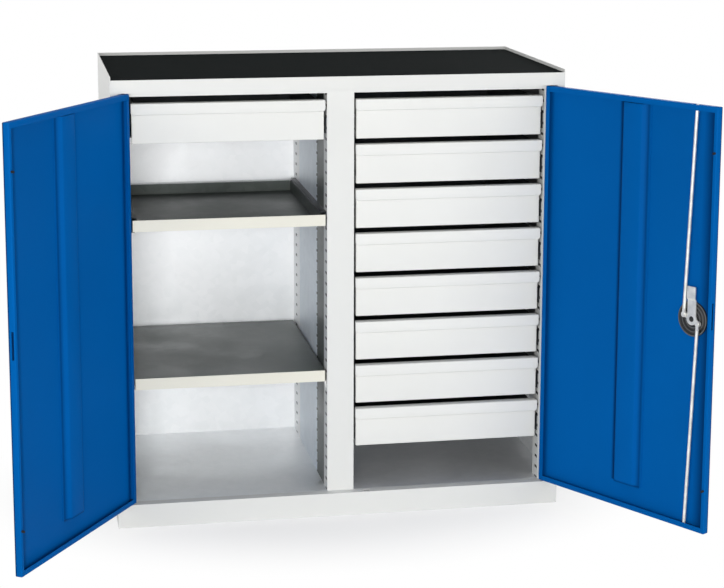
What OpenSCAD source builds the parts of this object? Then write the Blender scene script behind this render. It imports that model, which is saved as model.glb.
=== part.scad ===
// Tool cabinet with two hinged doors over a divided inside. The left bay holds one drawer, a
// pull-out tray and a fixed shelf, the right bay a bank of equal drawers. A turning bolt and two
// rods in the right door hold both doors shut. X runs to the right, Y to the back and Z up. The
// origin is on the ground, under the middle of the cabinet. The doors are drawn standing open.

/* [Overall size] */
// Width over the side panels
cab_w = 1000; // [900:10:1200]
// Depth from the front faces to the back
cab_d = 520; // [480:10:640]
// Height to the top of the raised rim
cab_h = 1000; // [900:10:1200]

/* [Carcass] */
// Thickness of the carcass sheet
sheet = 1.2; // [0.9:0.1:1.5]
// Height of the plinth, which is also the height of the floor of the bays
plinth_h = 52; // [45:1:60]
// Depth of the ledge on top of the plinth
ledge_d = 24; // [24:1:28]
// Height of the flanges that hang under the floor and the ledge
hem_h = 20; // [12:1:30]
// Height of the front apron, from its lower edge to the mat surface
apron_h = 28; // [24:1:36]
// Height of the rim above the mat surface at the sides and the back
rim_h = 7; // [4:1:12]
// Thickness of the rubber mat on the top
mat_t = 3; // [2:0.5:4]
// Gap around the rubber mat
mat_gap = 0.3; // [0.1:0.1:1]
// Height of the set back strip under the apron
strip_h = 10; // [6:1:14]
// Width of the front edge of each side panel
stile_w = 16; // [14:1:18]
// Setback of the posts and the bay openings behind the front face
setback = 22; // [22:1:26]
// Width from the outside of the cabinet to the bay opening
upright_w = 40; // [38:1:46]
// Width of the post between the bays
post_w = 60; // [56:1:70]
// Depth of the perforated flanges of the posts
flange_d = 44; // [30:1:50]
// Depth of the perforated flanges of the rear posts
rear_flange_d = 58; // [50:1:64]
// Width of the returns folded on the free edges
return_w = 14; // [10:1:16]
// Width of the flanges on which the cabinet stands
foot_w = 20; // [16:1:24]

/* [Slots in the posts] */
// Pitch of the slots
slot_pitch = 25; // [25:1:30]
// Height of one slot
slot_h = 12; // [11:0.5:14]
// Width of one slot
slot_w = 4; // [3.8:0.1:5]
// Distance of the slot centres behind the flange front
slot_in = 14; // [12:1:15]
// Distance from the front slots of the partition to its middle slots
slot_step = 124; // [80:4:200]

/* [Doors] */
// Thickness of a door
door_t = 16; // [16:0.5:17]
// Thickness of the door sheet
door_sheet = 1.2; // [0.9:0.1:1.5]
// Gap over and under the doors
door_gap = 2; // [1.5:0.5:3]
// Gap between a door and the front edge of the side panel
edge_gap = 3; // [3:0.5:4]
// Gap between the two doors
meet_gap = 3; // [3:0.5:5]
// Width of the folds behind the top, bottom and hinge edges
door_lip = 12; // [10:1:14]
// Width of the fold behind the meeting edge
free_lip = 8; // [7:0.5:10]
// Distance of the hinge pins from the outside of the cabinet
pin_inset = 28; // [28:0.5:28]
// Distance of the hinge pins behind the front face
pin_depth = 6; // [6:0.5:6.5]
// Diameter of the hinge pins
pin_d = 6; // [5:0.5:6]
// Radial clearance of the hinge pins in the doors
pin_clear = 0.06; // [0.03:0.01:0.09]
// Angle at which the left door stands open
open_left = 122; // [0:1:124]
// Angle at which the right door stands open
open_right = 120.5; // [0:0.5:124]
// Distance of the door stiffeners from the hinge pins
hat_u = 242; // [220:1:250]
// Width of the flat front of a stiffener
hat_top = 50; // [40:1:56]
// Width of a stiffener where its slopes meet the door
hat_base = 70; // [62:1:76]
// Height of a stiffener
hat_h = 12; // [8:0.5:13]
// Space under the stiffener, from the lower edge of the door
hat_low = 54; // [40:1:80]
// Width of the welded feet along a stiffener
hat_foot = 8; // [6:1:12]
// Diameter of the rubber buffers
buffer_d = 5; // [4:0.5:7]
// Distance of the buffers from the upper and lower door edges
buffer_z = 95; // [60:5:140]

/* [Lock] */
// Height of the lock above the ground
lock_z = 510; // [480:5:540]
// Distance of the lock from the meeting edge of the right door
lock_u = 57; // [56:0.5:58]
// Radius of the arms that push the rods
arm_r = 20; // [18:0.5:21]
// Slant of the arms when the lock is open
arm_tilt = 22; // [10:1:30]
// Length of the bolt from the lock centre
bolt_l = 70; // [69:0.5:72]
// Width of the bolt
bolt_w = 22; // [18:1:22]
// Thickness of the bolt plate
bolt_t = 2.5; // [2:0.25:2.5]
// Diameter of the two rods
rod_d = 7; // [6:0.5:7.5]
// Diameter of the pins on the arms
crank_d = 5; // [4:0.5:5]
// Outer diameter of the lock case
case_d = 76; // [70:1:80]
// Length of the outside grip
grip_l = 64; // [50:2:76]

/* [Drawers and slides] */
// Gap between two drawer fronts
drawer_gap = 12; // [10:0.5:14]
// Free height between the floor and the lowest drawer front
low_free = 100; // [60:5:160]
// Space from the strip to the top drawer front
drawer_top = 15; // [12:1:18]
// Side gap between the bay and a drawer front
front_gap = 6; // [5:0.5:7]
// Overhang of the grip over the drawer front at each side
grip_over = 2; // [1:0.5:2.5]
// Height of the grip along the top of a drawer front
grip_h = 25; // [20:1:28]
// Depth of the grip before the drawer front
grip_d = 10; // [9:0.5:10]
// Setback of a closed drawer front behind the front face
front_y = 28; // [28:0.5:30]
// Depth of the folds behind a drawer front
fold_d = 10; // [8:1:12]
// Thickness of the drawer sheet
drawer_sheet = 1; // [0.8:0.1:1.2]
// Space from the back of a closed drawer to the back of the cabinet
drawer_rear = 42; // [42:1:80]
// Space taken by the slides at each side of a drawer
slide_w = 13.5; // [13:0.25:14.5]
// Height of a slide
slide_h = 35; // [32:1:38]
// Wall thickness of a slide
slide_t = 1.2; // [1:0.1:1.4]
// Clearance between the two members of a slide
slide_gap = 0.4; // [0.3:0.05:0.6]
// Height of the slide centres above the drawer floor
slide_up = 26; // [22:1:34]
// Reach of the slides behind the front of the rear posts
slide_reach = 30; // [24:1:50]

/* [Tray and shelf] */
// Height of the rim of the pull-out tray above the ground
tray_z = 686; // [600:1:690]
// Height of the front edge of the tray
tray_h = 25; // [22:1:32]
// Number of the post slot that carries the fixed shelf
shelf_slot = 9; // [3:1:14]
// Height of the edges of the fixed shelf
shelf_h = 25; // [20:1:35]
// Side gap between the bay and the fixed shelf
shelf_gap = 4.25; // [3:0.25:5]

/* [Hidden] */
$fn = 48;
// Small overrun of a cut past the face it opens
cut = 1;
// Radial clearance of fixed round parts and of turning ones in their holes
hole_clear = 0.02;
turn_clear = 0.06;
// Gap between parts that pass each other or rest close together
near_gap = 0.3;
// Right bay drawers, then the one drawer of the left bay
right_drawers = 8;
all_drawers = 9;
// Planes of the carcass, measured from the front face and from the ground
side_x = cab_w / 2;
wall_y = cab_d - 2 * sheet;
mat_z = cab_h - rim_h;
top_z = mat_z - mat_t;
apron_z = mat_z - apron_h;
open_z = apron_z - strip_h;
bay_out = side_x - upright_w;
bay_in = post_w / 2;
bay_x = (bay_out + bay_in) / 2;
bay_half = (bay_out - bay_in) / 2;
rear_y = wall_y - rear_flange_d;
// Slots from the floor up to the opening top
slot_z0 = plinth_h + slot_pitch;
slot_n = floor((open_z - slot_pitch - slot_z0) / slot_pitch) + 1;
function slot_z(k) = slot_z0 + slot_pitch * k;
function slot_near(z) = slot_z(round((z - slot_z0) / slot_pitch));
// Door edges along the door from the pin, and their heights
pin_x = side_x - pin_inset;
hinge_u = stile_w + edge_gap - pin_inset;
free_u = pin_x - meet_gap / 2;
door_z0 = plinth_h + door_gap;
door_z1 = apron_z - door_gap;
door_back = door_t - door_sheet;
lock_pos = free_u - lock_u;
// Layers of the lock, as depths behind the front face
case_y1 = door_sheet + 4.2;
cam_y0 = case_y1 + 0.4;
rod_y = 10.5;
eye_t = 3;
crank_y1 = rod_y + eye_t / 2 + near_gap;
crank_head = 1.2;
bolt_y0 = cam_y0 + 3.2;
spindle_d = 12;
rosette_t = 4;
knob_d = 40;
// Crank pins when the lock is open, and the tilt that keeps the rod ends in line with the lock
crank_x = arm_r * cos(arm_tilt);
crank_z = arm_r * sin(arm_tilt);
tilt_upper = atan(crank_x / (door_z1 - door_sheet / 2 - lock_z - crank_z));
tilt_lower = atan(crank_x / (lock_z - crank_z - door_z0 - door_sheet / 2));
rod_short = 0.3;
rod_upper_l = (door_z1 - rod_short - lock_z - crank_z) / cos(tilt_upper);
rod_lower_l = (lock_z - crank_z - door_z0 - rod_short) / cos(tilt_lower);
// Rod slots leave room for the swing of the rods on their way
rod_slot_w = rod_d + 1.6;
rod_slot_l = rod_d + 10.4;
guide_l = rod_slot_l + 10;
guide_w = rod_slot_w + 0.2;
guide_h = 6;
// Drawer sizes, shared out over the height of the right bay
front_h = (open_z - drawer_top - plinth_h - low_free - (right_drawers - 1) * drawer_gap)
          / right_drawers;
drawer_pitch = front_h + drawer_gap;
box_d = cab_d - front_y - drawer_rear;
box_lift = 4;
box_low = front_h - box_lift;
box_high = 6;
box_half = bay_half - slide_w;
drawer_half = bay_half - front_gap;
grip_half = drawer_half + grip_over;
grip_cut = 4;
runner_y0 = front_y + fold_d + 2;
runner_y1 = rear_y + slide_reach;
slide_free = 2.5;
slide_flange = slide_w - slide_t - slide_free;
slide_wall = 1.5;
lug_h = 8;
lug_gap = 0.3;
lug_out = 2.5;
shelf_y0 = setback + 4;
clip_h = 18;
clip_w = 20;
clip_tab = 10;
tray_y0 = setback - 2;
tray_mid = tray_z - tray_h / 2;
shelf_z = slot_z(shelf_slot) + lug_h / 2;
function drawer_z(i) = open_z - drawer_top - (i > right_drawers ? 0 : (i - 1) * drawer_pitch);
function drawer_x(i) = i > right_drawers ? -bay_x : bay_x;

// A box between two corners, given axis by axis
module box(x0, x1, y0, y1, z0, z1) {
  translate([x0, y0, z0])
    cube([x1 - x0, y1 - y0, z1 - z0]);
}

// Moves children drawn from the front face back to the shared origin
module from_front() {
  translate([0, -cab_d / 2, 0])
    children();
}

// Draws children for the left side, mirrored when the right side is wanted
module on_side(s) {
  mirror([s > 0 ? 1 : 0, 0, 0])
    children();
}

// Moves children drawn on a closed door, measured from its pin, to the open door
module on_door(s) {
  from_front()
    on_side(s)
      translate([-pin_x, pin_depth, 0])
        rotate([0, 0, s > 0 ? -open_right : -open_left])
          translate([0, -pin_depth, 0])
            children();
}

// One column of slots through a flange whose middle plane is x
module slot_column(x, y) {
  for (k = [0 : slot_n - 1])
    translate([x, y, slot_z(k)])
      cube([2 * sheet + cut, slot_w, slot_h], center = true);
}

module side_panel(s) {
  color("gainsboro")
    from_front()
      on_side(s)
        translate([-side_x, 0, 0])
          union() {
            box(0, sheet, 0, cab_d, 0, cab_h);
            box(0, stile_w, 0, sheet, 0, mat_z);
            box(stile_w - sheet, stile_w, 0, setback, 0, apron_z);
            box(0, return_w, cab_d - sheet, cab_d, 0, cab_h);
            box(0, foot_w, setback + cut, wall_y, 0, sheet);
          }
}

module back_panel() {
  color("gainsboro")
    from_front() {
      box(-side_x + sheet, side_x - sheet, wall_y, wall_y + sheet, 0, cab_h);
      box(-side_x + foot_w + cut, side_x - foot_w - cut, wall_y - foot_w, wall_y + sheet, 0, sheet);
    }
}

module floor_panel() {
  hem_z = plinth_h - hem_h;
  color("lightsteelblue")
    from_front() {
      box(-side_x + sheet, side_x - sheet, ledge_d, wall_y, plinth_h - sheet, plinth_h);
      box(-side_x + foot_w, side_x - foot_w, ledge_d, ledge_d + sheet, hem_z, plinth_h);
      box(-side_x + foot_w, side_x - foot_w, wall_y - sheet, wall_y, hem_z, plinth_h);
      for (s = [-1, 1])
        on_side(s)
          box(-side_x + sheet, -side_x + 2 * sheet, ledge_d, wall_y, hem_z, plinth_h);
    }
}

// Channel under the floor that takes the load of the posts to the ground
module base_rail() {
  rail_y0 = ledge_d + 2 * sheet;
  rail_y1 = wall_y - foot_w - 2;
  color("lightsteelblue")
    from_front() {
      box(-bay_in, bay_in, rail_y0, rail_y1, 0, sheet);
      for (s = [-1, 1])
        on_side(s) {
          box(-bay_in, -bay_in + sheet, rail_y0, rail_y1, 0, plinth_h - sheet);
          box(-bay_in - return_w, -bay_in + sheet, rail_y0, rail_y1,
              plinth_h - 2 * sheet, plinth_h - sheet);
        }
    }
}

module plinth() {
  half = side_x - stile_w;
  color("whitesmoke")
    from_front()
      difference() {
        union() {
          box(-half, half, 0, sheet, 0, plinth_h);
          box(-half, half, 0, ledge_d, plinth_h - sheet, plinth_h);
          box(-half, half, ledge_d - sheet, ledge_d, plinth_h - hem_h, plinth_h);
          box(-half, half, 0, ledge_d - 2, 0, sheet);
        }
        pin_holes(plinth_h - sheet - cut, 2 * cut + sheet);
        keeper_slot(plinth_h - sheet - cut);
      }
}

// Top sheet with the apron folded down, the ledge behind it and the set back strip
module top_cover() {
  half = side_x - stile_w;
  color("whitesmoke")
    from_front()
      difference() {
        union() {
          box(-side_x + sheet, side_x - sheet, sheet, wall_y, top_z - sheet, top_z);
          box(-half, half, 0, sheet, apron_z, mat_z);
          box(-half, half, 0, setback + sheet, apron_z, apron_z + sheet);
          box(-half, half, setback, setback + sheet, open_z, apron_z + sheet);
          box(-half, half, setback, setback + flange_d, open_z, open_z + sheet);
        }
        pin_holes(apron_z - cut, 2 * cut + sheet);
        keeper_slot(apron_z - cut);
      }
}

// Holes for the hinge pins through a ledge
module pin_holes(z, h) {
  for (s = [-1, 1])
    translate([s * pin_x, pin_depth, z])
      cylinder(d = pin_d + 2 * hole_clear, h = h);
}

// Slot through a ledge that takes the end of a rod
module keeper_slot(z) {
  translate([pin_x - lock_pos, rod_y, z])
    rod_slot(2 * cut + sheet);
}

// Slot with round ends, as wide as a rod needs on its way
module rod_slot(h) {
  run = rod_slot_l - rod_slot_w;
  for (s = [-1, 1])
    translate([s * run / 2, 0, 0])
      cylinder(d = rod_slot_w, h = h);
  translate([-run / 2, -rod_slot_w / 2, 0])
    cube([run, rod_slot_w, h]);
}

module rubber_mat() {
  half = side_x - sheet - mat_gap;
  color("#1c1e1e")
    from_front()
      box(-half, half, sheet + mat_gap, wall_y - mat_gap, top_z, mat_z);
}

// Folded post between the bays, open to the back
module front_post() {
  color("whitesmoke")
    from_front()
      difference() {
        union() {
          box(-bay_in, bay_in, setback, setback + sheet, plinth_h, open_z);
          for (s = [-1, 1])
            on_side(s) {
              box(-bay_in, -bay_in + sheet, setback, setback + flange_d, plinth_h, open_z);
              box(-bay_in, -bay_in + return_w, setback + flange_d - sheet, setback + flange_d,
                  plinth_h, open_z);
            }
        }
        for (s = [-1, 1])
          on_side(s)
            slot_column(-bay_in + sheet / 2, setback + slot_in);
      }
}

// Folded hollow wall between the bays, from the front post to the back
module partition() {
  wall_y0 = setback + flange_d;
  color("lightsteelblue")
    from_front()
      difference() {
        union() {
          box(-bay_in, bay_in, wall_y - sheet, wall_y, plinth_h, top_z - sheet);
          for (s = [-1, 1])
            on_side(s)
              box(-bay_in, -bay_in + sheet, wall_y0, wall_y, plinth_h, top_z - sheet);
        }
        for (s = [-1, 1])
          on_side(s)
            for (y = [setback + slot_in + slot_step, rear_y + slot_in])
              slot_column(-bay_in + sheet / 2, y);
      }
}

module upright_front(s) {
  color("whitesmoke")
    from_front()
      on_side(s)
        difference() {
          union() {
            box(-side_x + sheet, -bay_out, setback, setback + sheet, plinth_h, open_z);
            box(-bay_out - sheet, -bay_out, setback, setback + flange_d, plinth_h, open_z);
            box(-bay_out - return_w, -bay_out, setback + flange_d - sheet, setback + flange_d,
                plinth_h, open_z);
          }
          slot_column(-bay_out - sheet / 2, setback + slot_in);
        }
}

module upright_rear(s) {
  color("lightsteelblue")
    from_front()
      on_side(s)
        difference() {
          union() {
            box(-side_x + sheet, -bay_out, wall_y - sheet, wall_y, plinth_h, top_z - sheet);
            box(-bay_out - sheet, -bay_out, rear_y, wall_y, plinth_h, top_z - sheet);
          }
          slot_column(-bay_out - sheet / 2, rear_y + slot_in);
        }
}

// Cabinet member of one slide on the left wall of a bay, with its lugs in the post slots
module runner(z) {
  x0 = -bay_half;
  lug_z = slot_near(z);
  box(x0, x0 + slide_t, setback + slot_in - slot_w, runner_y1, z - slide_h / 2, z + slide_h / 2);
  for (s = [-1, 1]) {
    z0 = s > 0 ? z + slide_h / 2 - slide_wall : z - slide_h / 2;
    box(x0, x0 + slide_flange, runner_y0, runner_y1, z0, z0 + slide_wall);
  }
  for (y = [setback + slot_in, rear_y + slot_in])
    translate([x0, y, lug_z])
      cube([2 * lug_out, slot_w - 2 * lug_gap, lug_h], center = true);
}

// Both runners of one drawer or tray
module runner_pair(x, z) {
  color("slategray")
    from_front()
      translate([x, 0, 0])
        for (s = [-1, 1])
          on_side(s)
            runner(z);
}

module runners_left_bay() {
  runner_pair(-bay_x, tray_mid);
  runner_pair(-bay_x, drawer_z(all_drawers) - box_low + slide_up);
}

module runners_right_bay() {
  for (i = [1 : right_drawers])
    runner_pair(bay_x, drawer_z(i) - box_low + slide_up);
}

// Moving members of the slides at both sides of a drawer or tray
module rail_pair(x, z) {
  half = slide_h / 2 - slide_wall - slide_gap;
  tip = box_half + slide_flange;
  color("slategray")
    from_front()
      translate([x, 0, 0])
        for (s = [-1, 1])
          on_side(s) {
            box(-box_half - slide_t, -box_half, runner_y0, front_y + box_d, z - half, z + half);
            box(-tip, -box_half, runner_y0, front_y + box_d, z - half, z - half + slide_t);
            box(-tip, -box_half, runner_y0, front_y + box_d, z + half - slide_t, z + half);
          }
}

module drawer_box(i) {
  z1 = drawer_z(i) - box_high;
  z0 = drawer_z(i) - box_low;
  y0 = front_y + drawer_sheet;
  color("whitesmoke")
    from_front()
      translate([drawer_x(i), 0, 0])
        difference() {
          box(-box_half, box_half, y0, front_y + box_d, z0, z1);
          box(-box_half + drawer_sheet, box_half - drawer_sheet, y0 + drawer_sheet,
              front_y + box_d - drawer_sheet, z0 + drawer_sheet, z1 + cut);
        }
}

// Drawer front with a full width grip folded along its top
module drawer_front(i) {
  z1 = drawer_z(i);
  z0 = z1 - front_h;
  low = z1 - grip_h;
  grip_y = front_y - grip_d;
  color("whitesmoke")
    from_front()
      translate([drawer_x(i), 0, 0]) {
        box(-drawer_half, drawer_half, front_y, front_y + drawer_sheet, z0, z1);
        box(-drawer_half, drawer_half, front_y, front_y + fold_d, z0, z0 + drawer_sheet);
        for (s = [-1, 1])
          on_side(s)
            box(-drawer_half, -drawer_half + drawer_sheet, front_y, front_y + fold_d, z0, z1);
        difference() {
          translate([0, front_y + drawer_sheet, 0])
            rotate([90, 0, 0])
              linear_extrude(grip_d + drawer_sheet)
                polygon([
                  [-grip_half, z1], [-grip_half, low + grip_cut], [-grip_half + grip_cut, low],
                  [grip_half - grip_cut, low], [grip_half, low + grip_cut], [grip_half, z1]
                ]);
          box(-grip_half + drawer_sheet, grip_half - drawer_sheet, grip_y + drawer_sheet,
              front_y + drawer_sheet + cut, low - cut, z1 - drawer_sheet);
        }
        box(-grip_half + grip_cut, grip_half - grip_cut, grip_y, grip_y + grip_d / 2,
            low, low + drawer_sheet);
      }
}

module drawer_rails(i) {
  rail_pair(drawer_x(i), drawer_z(i) - box_low + slide_up);
}

module tray_rails() {
  rail_pair(-bay_x, tray_mid);
}

// Shallow pan on slides, with a front edge as wide as the drawer grips
module tray() {
  z0 = tray_z - tray_h;
  color("linen")
    from_front()
      translate([-bay_x, 0, 0]) {
        difference() {
          box(-box_half, box_half, tray_y0, front_y + box_d, z0, tray_z);
          box(-box_half + sheet, box_half - sheet, tray_y0 + sheet,
              front_y + box_d - sheet, z0 + sheet, tray_z + cut);
        }
        box(-grip_half, grip_half, tray_y0, tray_y0 + sheet, z0, tray_z);
        for (s = [-1, 1])
          on_side(s)
            box(-grip_half, -grip_half + sheet, tray_y0, tray_y0 + fold_d, z0, tray_z);
      }
}

// Shelf folded down on all four sides
module fixed_shelf() {
  half = bay_half - shelf_gap;
  color("linen")
    from_front()
      translate([-bay_x, 0, 0])
        difference() {
          box(-half, half, shelf_y0, wall_y - shelf_y0 / 2, shelf_z, shelf_z + shelf_h);
          box(-half + sheet, half - sheet, shelf_y0 + sheet, wall_y - shelf_y0 / 2 - sheet,
              shelf_z - cut, shelf_z + shelf_h - sheet);
        }
}

// Four clips that hook into the posts and carry the shelf edges
module shelf_clips() {
  color("silver")
    from_front()
      translate([-bay_x, 0, 0])
        for (s = [-1, 1])
          on_side(s)
            for (y = [setback + slot_in, rear_y + slot_in]) {
              box(-bay_half, -bay_half + sheet, y - slot_w, y + clip_w - slot_w,
                  shelf_z - clip_h, shelf_z);
              box(-bay_half, -bay_half + clip_tab, y - slot_w, y + clip_w - slot_w,
                  shelf_z - sheet, shelf_z);
              translate([-bay_half, y, slot_z(shelf_slot)])
                cube([2 * lug_out, slot_w - 2 * lug_gap, lug_h - 2], center = true);
            }
}

// Pins fixed in the plinth ledge and in the ledge behind the apron
module hinge_pins() {
  head = 2;
  reach = 8;
  color("dimgray")
    from_front()
      for (s = [-1, 1])
        translate([s * pin_x, pin_depth, 0]) {
          translate([0, 0, plinth_h - sheet - head])
            cylinder(d = pin_d, h = door_z0 + reach - plinth_h + sheet + head);
          translate([0, 0, plinth_h - sheet - head])
            cylinder(d = pin_d + 3, h = head);
          translate([0, 0, plinth_h])
            cylinder(d = pin_d + 3, h = door_gap - 0.1);
          translate([0, 0, door_z1 - reach])
            cylinder(d = pin_d, h = apron_z + sheet + head - door_z1 + reach);
          translate([0, 0, apron_z + sheet])
            cylinder(d = pin_d + 3, h = head);
        }
}

// Door folded from one sheet, drawn closed from its pin, open to the back
module door_leaf(with_lock) {
  bolt_clear = 1.4;
  slot_rest = 2;
  difference() {
    box(hinge_u, free_u, 0, door_t, door_z0, door_z1);
    box(hinge_u + door_sheet, free_u - door_sheet, door_sheet, door_back,
        door_z0 + door_sheet, door_z1 - door_sheet);
    box(hinge_u + door_lip, free_u - free_lip, door_back - cut, door_t + cut,
        door_z0 + door_lip, door_z1 - door_lip);
    for (z = [door_z0 - cut, door_z1 - door_sheet - cut])
      translate([0, pin_depth, z])
        cylinder(d = pin_d + 2 * pin_clear, h = door_sheet + 2 * cut);
    box(free_u - door_sheet - cut, free_u + cut, bolt_y0 - bolt_clear,
        bolt_y0 + bolt_t + bolt_clear, lock_z - bolt_w / 2 - slot_rest, lock_z + 2 * bolt_w);
    if (with_lock) {
      translate([lock_pos, door_sheet + cut, lock_z])
        rotate([90, 0, 0])
          cylinder(d = spindle_d + 2, h = door_sheet + 2 * cut);
      for (z = [door_z0 - cut, door_z1 - door_sheet - cut])
        translate([lock_pos, rod_y, z])
          rod_slot(door_sheet + 2 * cut);
    }
  }
}

module door_left() {
  color("#00559f")
    on_door(-1)
      door_leaf(false);
}

module door_right() {
  color("#00559f")
    on_door(1)
      door_leaf(true);
}

// Hat profile with sloped sides and closed ends, standing on the inner side of a door
module stiffener(s) {
  z0 = door_z0 + hat_low;
  z1 = door_z1 - door_lip - 2;
  color("#00559f")
    on_door(s)
      translate([hat_u, door_sheet, 0])
        difference() {
          translate([0, 0, z0])
            linear_extrude(z1 - z0)
              union() {
                polygon([
                  [-hat_base / 2, 0], [hat_base / 2, 0],
                  [hat_top / 2, hat_h], [-hat_top / 2, hat_h]
                ]);
                translate([-hat_base / 2 - hat_foot, 0])
                  square([hat_base + 2 * hat_foot, door_sheet]);
              }
          translate([0, 0, z0 + door_sheet])
            linear_extrude(z1 - z0 - 2 * door_sheet)
              polygon([
                [-hat_base / 2 + 2 * door_sheet, -cut], [hat_base / 2 - 2 * door_sheet, -cut],
                [hat_top / 2 - door_sheet, hat_h - door_sheet],
                [-hat_top / 2 + door_sheet, hat_h - door_sheet]
              ]);
        }
}

// Rubber buffers on the fold behind the meeting edge
module buffers(s) {
  color("#202020")
    on_door(s)
      for (z = [door_z0 + buffer_z, door_z1 - buffer_z])
        translate([free_u - free_lip / 2, door_t, z])
          rotate([-90, 0, 0])
            cylinder(d = buffer_d, h = setback - door_t - near_gap);
}

// Round case inside the right door and the ring around the grip outside
module lock_housing() {
  rim = 3;
  rim_up = 1.7;
  case_y0 = case_y1 - rim_up;
  boss_d = spindle_d + 1.9;
  color("#1a1a1a")
    on_door(1)
      translate([lock_pos, 0, lock_z])
        rotate([-90, 0, 0])
          difference() {
            union() {
              translate([0, 0, door_sheet])
                cylinder(d = case_d, h = case_y1 - door_sheet, $fn = 96);
              translate([0, 0, -rosette_t])
                cylinder(d = knob_d + 12, h = rosette_t, $fn = 96);
              cylinder(d = boss_d, h = case_y0);
            }
            difference() {
              translate([0, 0, case_y0])
                cylinder(d = case_d - 2 * rim, h = rim_up + cut, $fn = 96);
              cylinder(d = spindle_d + 2 * rim, h = case_y1);
            }
            translate([0, 0, -rosette_t - cut])
              cylinder(d = spindle_d + 2 * turn_clear, h = case_y1 + rosette_t + 2 * cut);
          }
}

// Two armed cam with the stepped bolt and the two crank pins
module lock_cam() {
  step_z = 40;
  step_h = 5;
  hub_d = bolt_w + 4;
  arm_end_d = 2 * crank_d + 1.5;
  arm_in = 0.2;
  color("silver")
    on_door(1)
      translate([lock_pos, 0, lock_z]) {
        difference() {
          union() {
            rotate([0, arm_tilt, 0]) {
              box(-arm_r, arm_r, cam_y0 + arm_in, cam_y0 + bolt_t - arm_in, -crank_d, crank_d);
              for (s = [-1, 1])
                translate([s * arm_r, cam_y0 + arm_in, 0])
                  rotate([-90, 0, 0])
                    cylinder(d = arm_end_d, h = bolt_t - 2 * arm_in);
            }
            translate([0, cam_y0, 0])
              rotate([-90, 0, 0])
                cylinder(d = hub_d, h = bolt_t);
            box(-bolt_w / 2, bolt_w / 2, cam_y0, cam_y0 + bolt_t, 0, step_z);
          }
          translate([0, cam_y0 - cut, 0])
            rotate([-90, 0, 0])
              cylinder(d = spindle_d + 2 * hole_clear, h = bolt_t + 2 * cut);
        }
        translate([-bolt_w / 2, 0, 0])
          rotate([90, 0, 90])
            linear_extrude(bolt_w)
              polygon([
                [cam_y0, step_z], [cam_y0 + bolt_t, step_z], [bolt_y0 + bolt_t, step_z + step_h],
                [bolt_y0 + bolt_t, bolt_l], [bolt_y0, bolt_l], [bolt_y0, step_z + step_h]
              ]);
        rotate([0, arm_tilt, 0])
          for (s = [-1, 1])
            translate([s * arm_r, 0, 0])
              rotate([-90, 0, 0]) {
                translate([0, 0, cam_y0 + arm_in])
                  cylinder(d = crank_d, h = crank_y1 + crank_head - cam_y0 - arm_in);
                translate([0, 0, crank_y1])
                  cylinder(d = crank_d + 3, h = crank_head);
              }
      }
}

// Grip outside the door with the spindle that carries the cam
module lock_handle() {
  base_y = rosette_t + near_gap;
  base_h = 8;
  wing_h = 18;
  wing_w = 14;
  color("#1a1a1a")
    on_door(1)
      translate([lock_pos, 0, lock_z]) {
        rotate([-90, 0, 0]) {
          translate([0, 0, -rosette_t])
            cylinder(d = spindle_d, h = rosette_t + cam_y0 + bolt_t);
          translate([0, 0, -base_y - base_h])
            cylinder(d = knob_d, h = base_h);
          translate([0, 0, -base_y])
            cylinder(d = spindle_d, h = near_gap);
        }
        box(-wing_w / 2, wing_w / 2, -base_y - base_h - wing_h, -base_y - base_h,
            -grip_l / 2 + wing_w / 2, grip_l / 2 - wing_w / 2);
        for (s = [-1, 1])
          translate([0, -base_y - base_h, s * (grip_l - wing_w) / 2])
            rotate([90, 0, 0])
              cylinder(d = wing_w, h = wing_h);
      }
}

// Rod with a flat eye at its crank pin, drawn upward from the eye
module rod(l) {
  neck = 14;
  difference() {
    union() {
      rotate([-90, 0, 0])
        translate([0, 0, -eye_t / 2])
          cylinder(r = crank_d + 1, h = eye_t);
      translate([-rod_d / 2, -eye_t / 2, 0])
        cube([rod_d, eye_t, neck + rod_d]);
      translate([0, 0, neck])
        cylinder(d = rod_d, h = l - neck);
    }
    rotate([-90, 0, 0])
      translate([0, 0, -eye_t / 2 - cut])
        cylinder(d = crank_d + 2 * turn_clear, h = eye_t + 2 * cut);
  }
}

module rod_upper() {
  color("silver")
    on_door(1)
      translate([lock_pos - crank_x, rod_y, lock_z + crank_z])
        rotate([0, tilt_upper, 0])
          rod(rod_upper_l);
}

module rod_lower() {
  color("silver")
    on_door(1)
      translate([lock_pos + crank_x, rod_y, lock_z - crank_z])
        rotate([0, tilt_lower + 180, 0])
          rod(rod_lower_l);
}

// Plastic guides under and over the door edges where the rods pass
module rod_guides() {
  color("#1a1a1a")
    on_door(1)
      for (z = [door_z0 + door_sheet, door_z1 - door_sheet - guide_h])
        difference() {
          box(lock_pos - guide_l / 2, lock_pos + guide_l / 2, door_sheet, door_back, z, z + guide_h);
          translate([lock_pos, rod_y, z - cut])
            rod_slot(guide_h + 2 * cut);
        }
}

side_panel(-1);  // side_panel_left
side_panel(1);  // side_panel_right
back_panel();
floor_panel();
base_rail();
plinth();
top_cover();
rubber_mat();
front_post();
partition();
upright_front(-1);  // upright_front_left
upright_front(1);  // upright_front_right
upright_rear(-1);  // upright_rear_left
upright_rear(1);  // upright_rear_right
runners_left_bay();
runners_right_bay();
fixed_shelf();
shelf_clips();
tray();
tray_rails();
for (i = [1 : all_drawers]) {
  drawer_box(i);
  drawer_front(i);
  drawer_rails(i);
}
hinge_pins();
door_left();
stiffener(-1);  // door_left_stiffener
buffers(-1);  // buffers_left
door_right();
stiffener(1);  // door_right_stiffener
buffers(1);  // buffers_right
lock_housing();
lock_cam();
lock_handle();
rod_upper();
rod_lower();
rod_guides();
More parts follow.
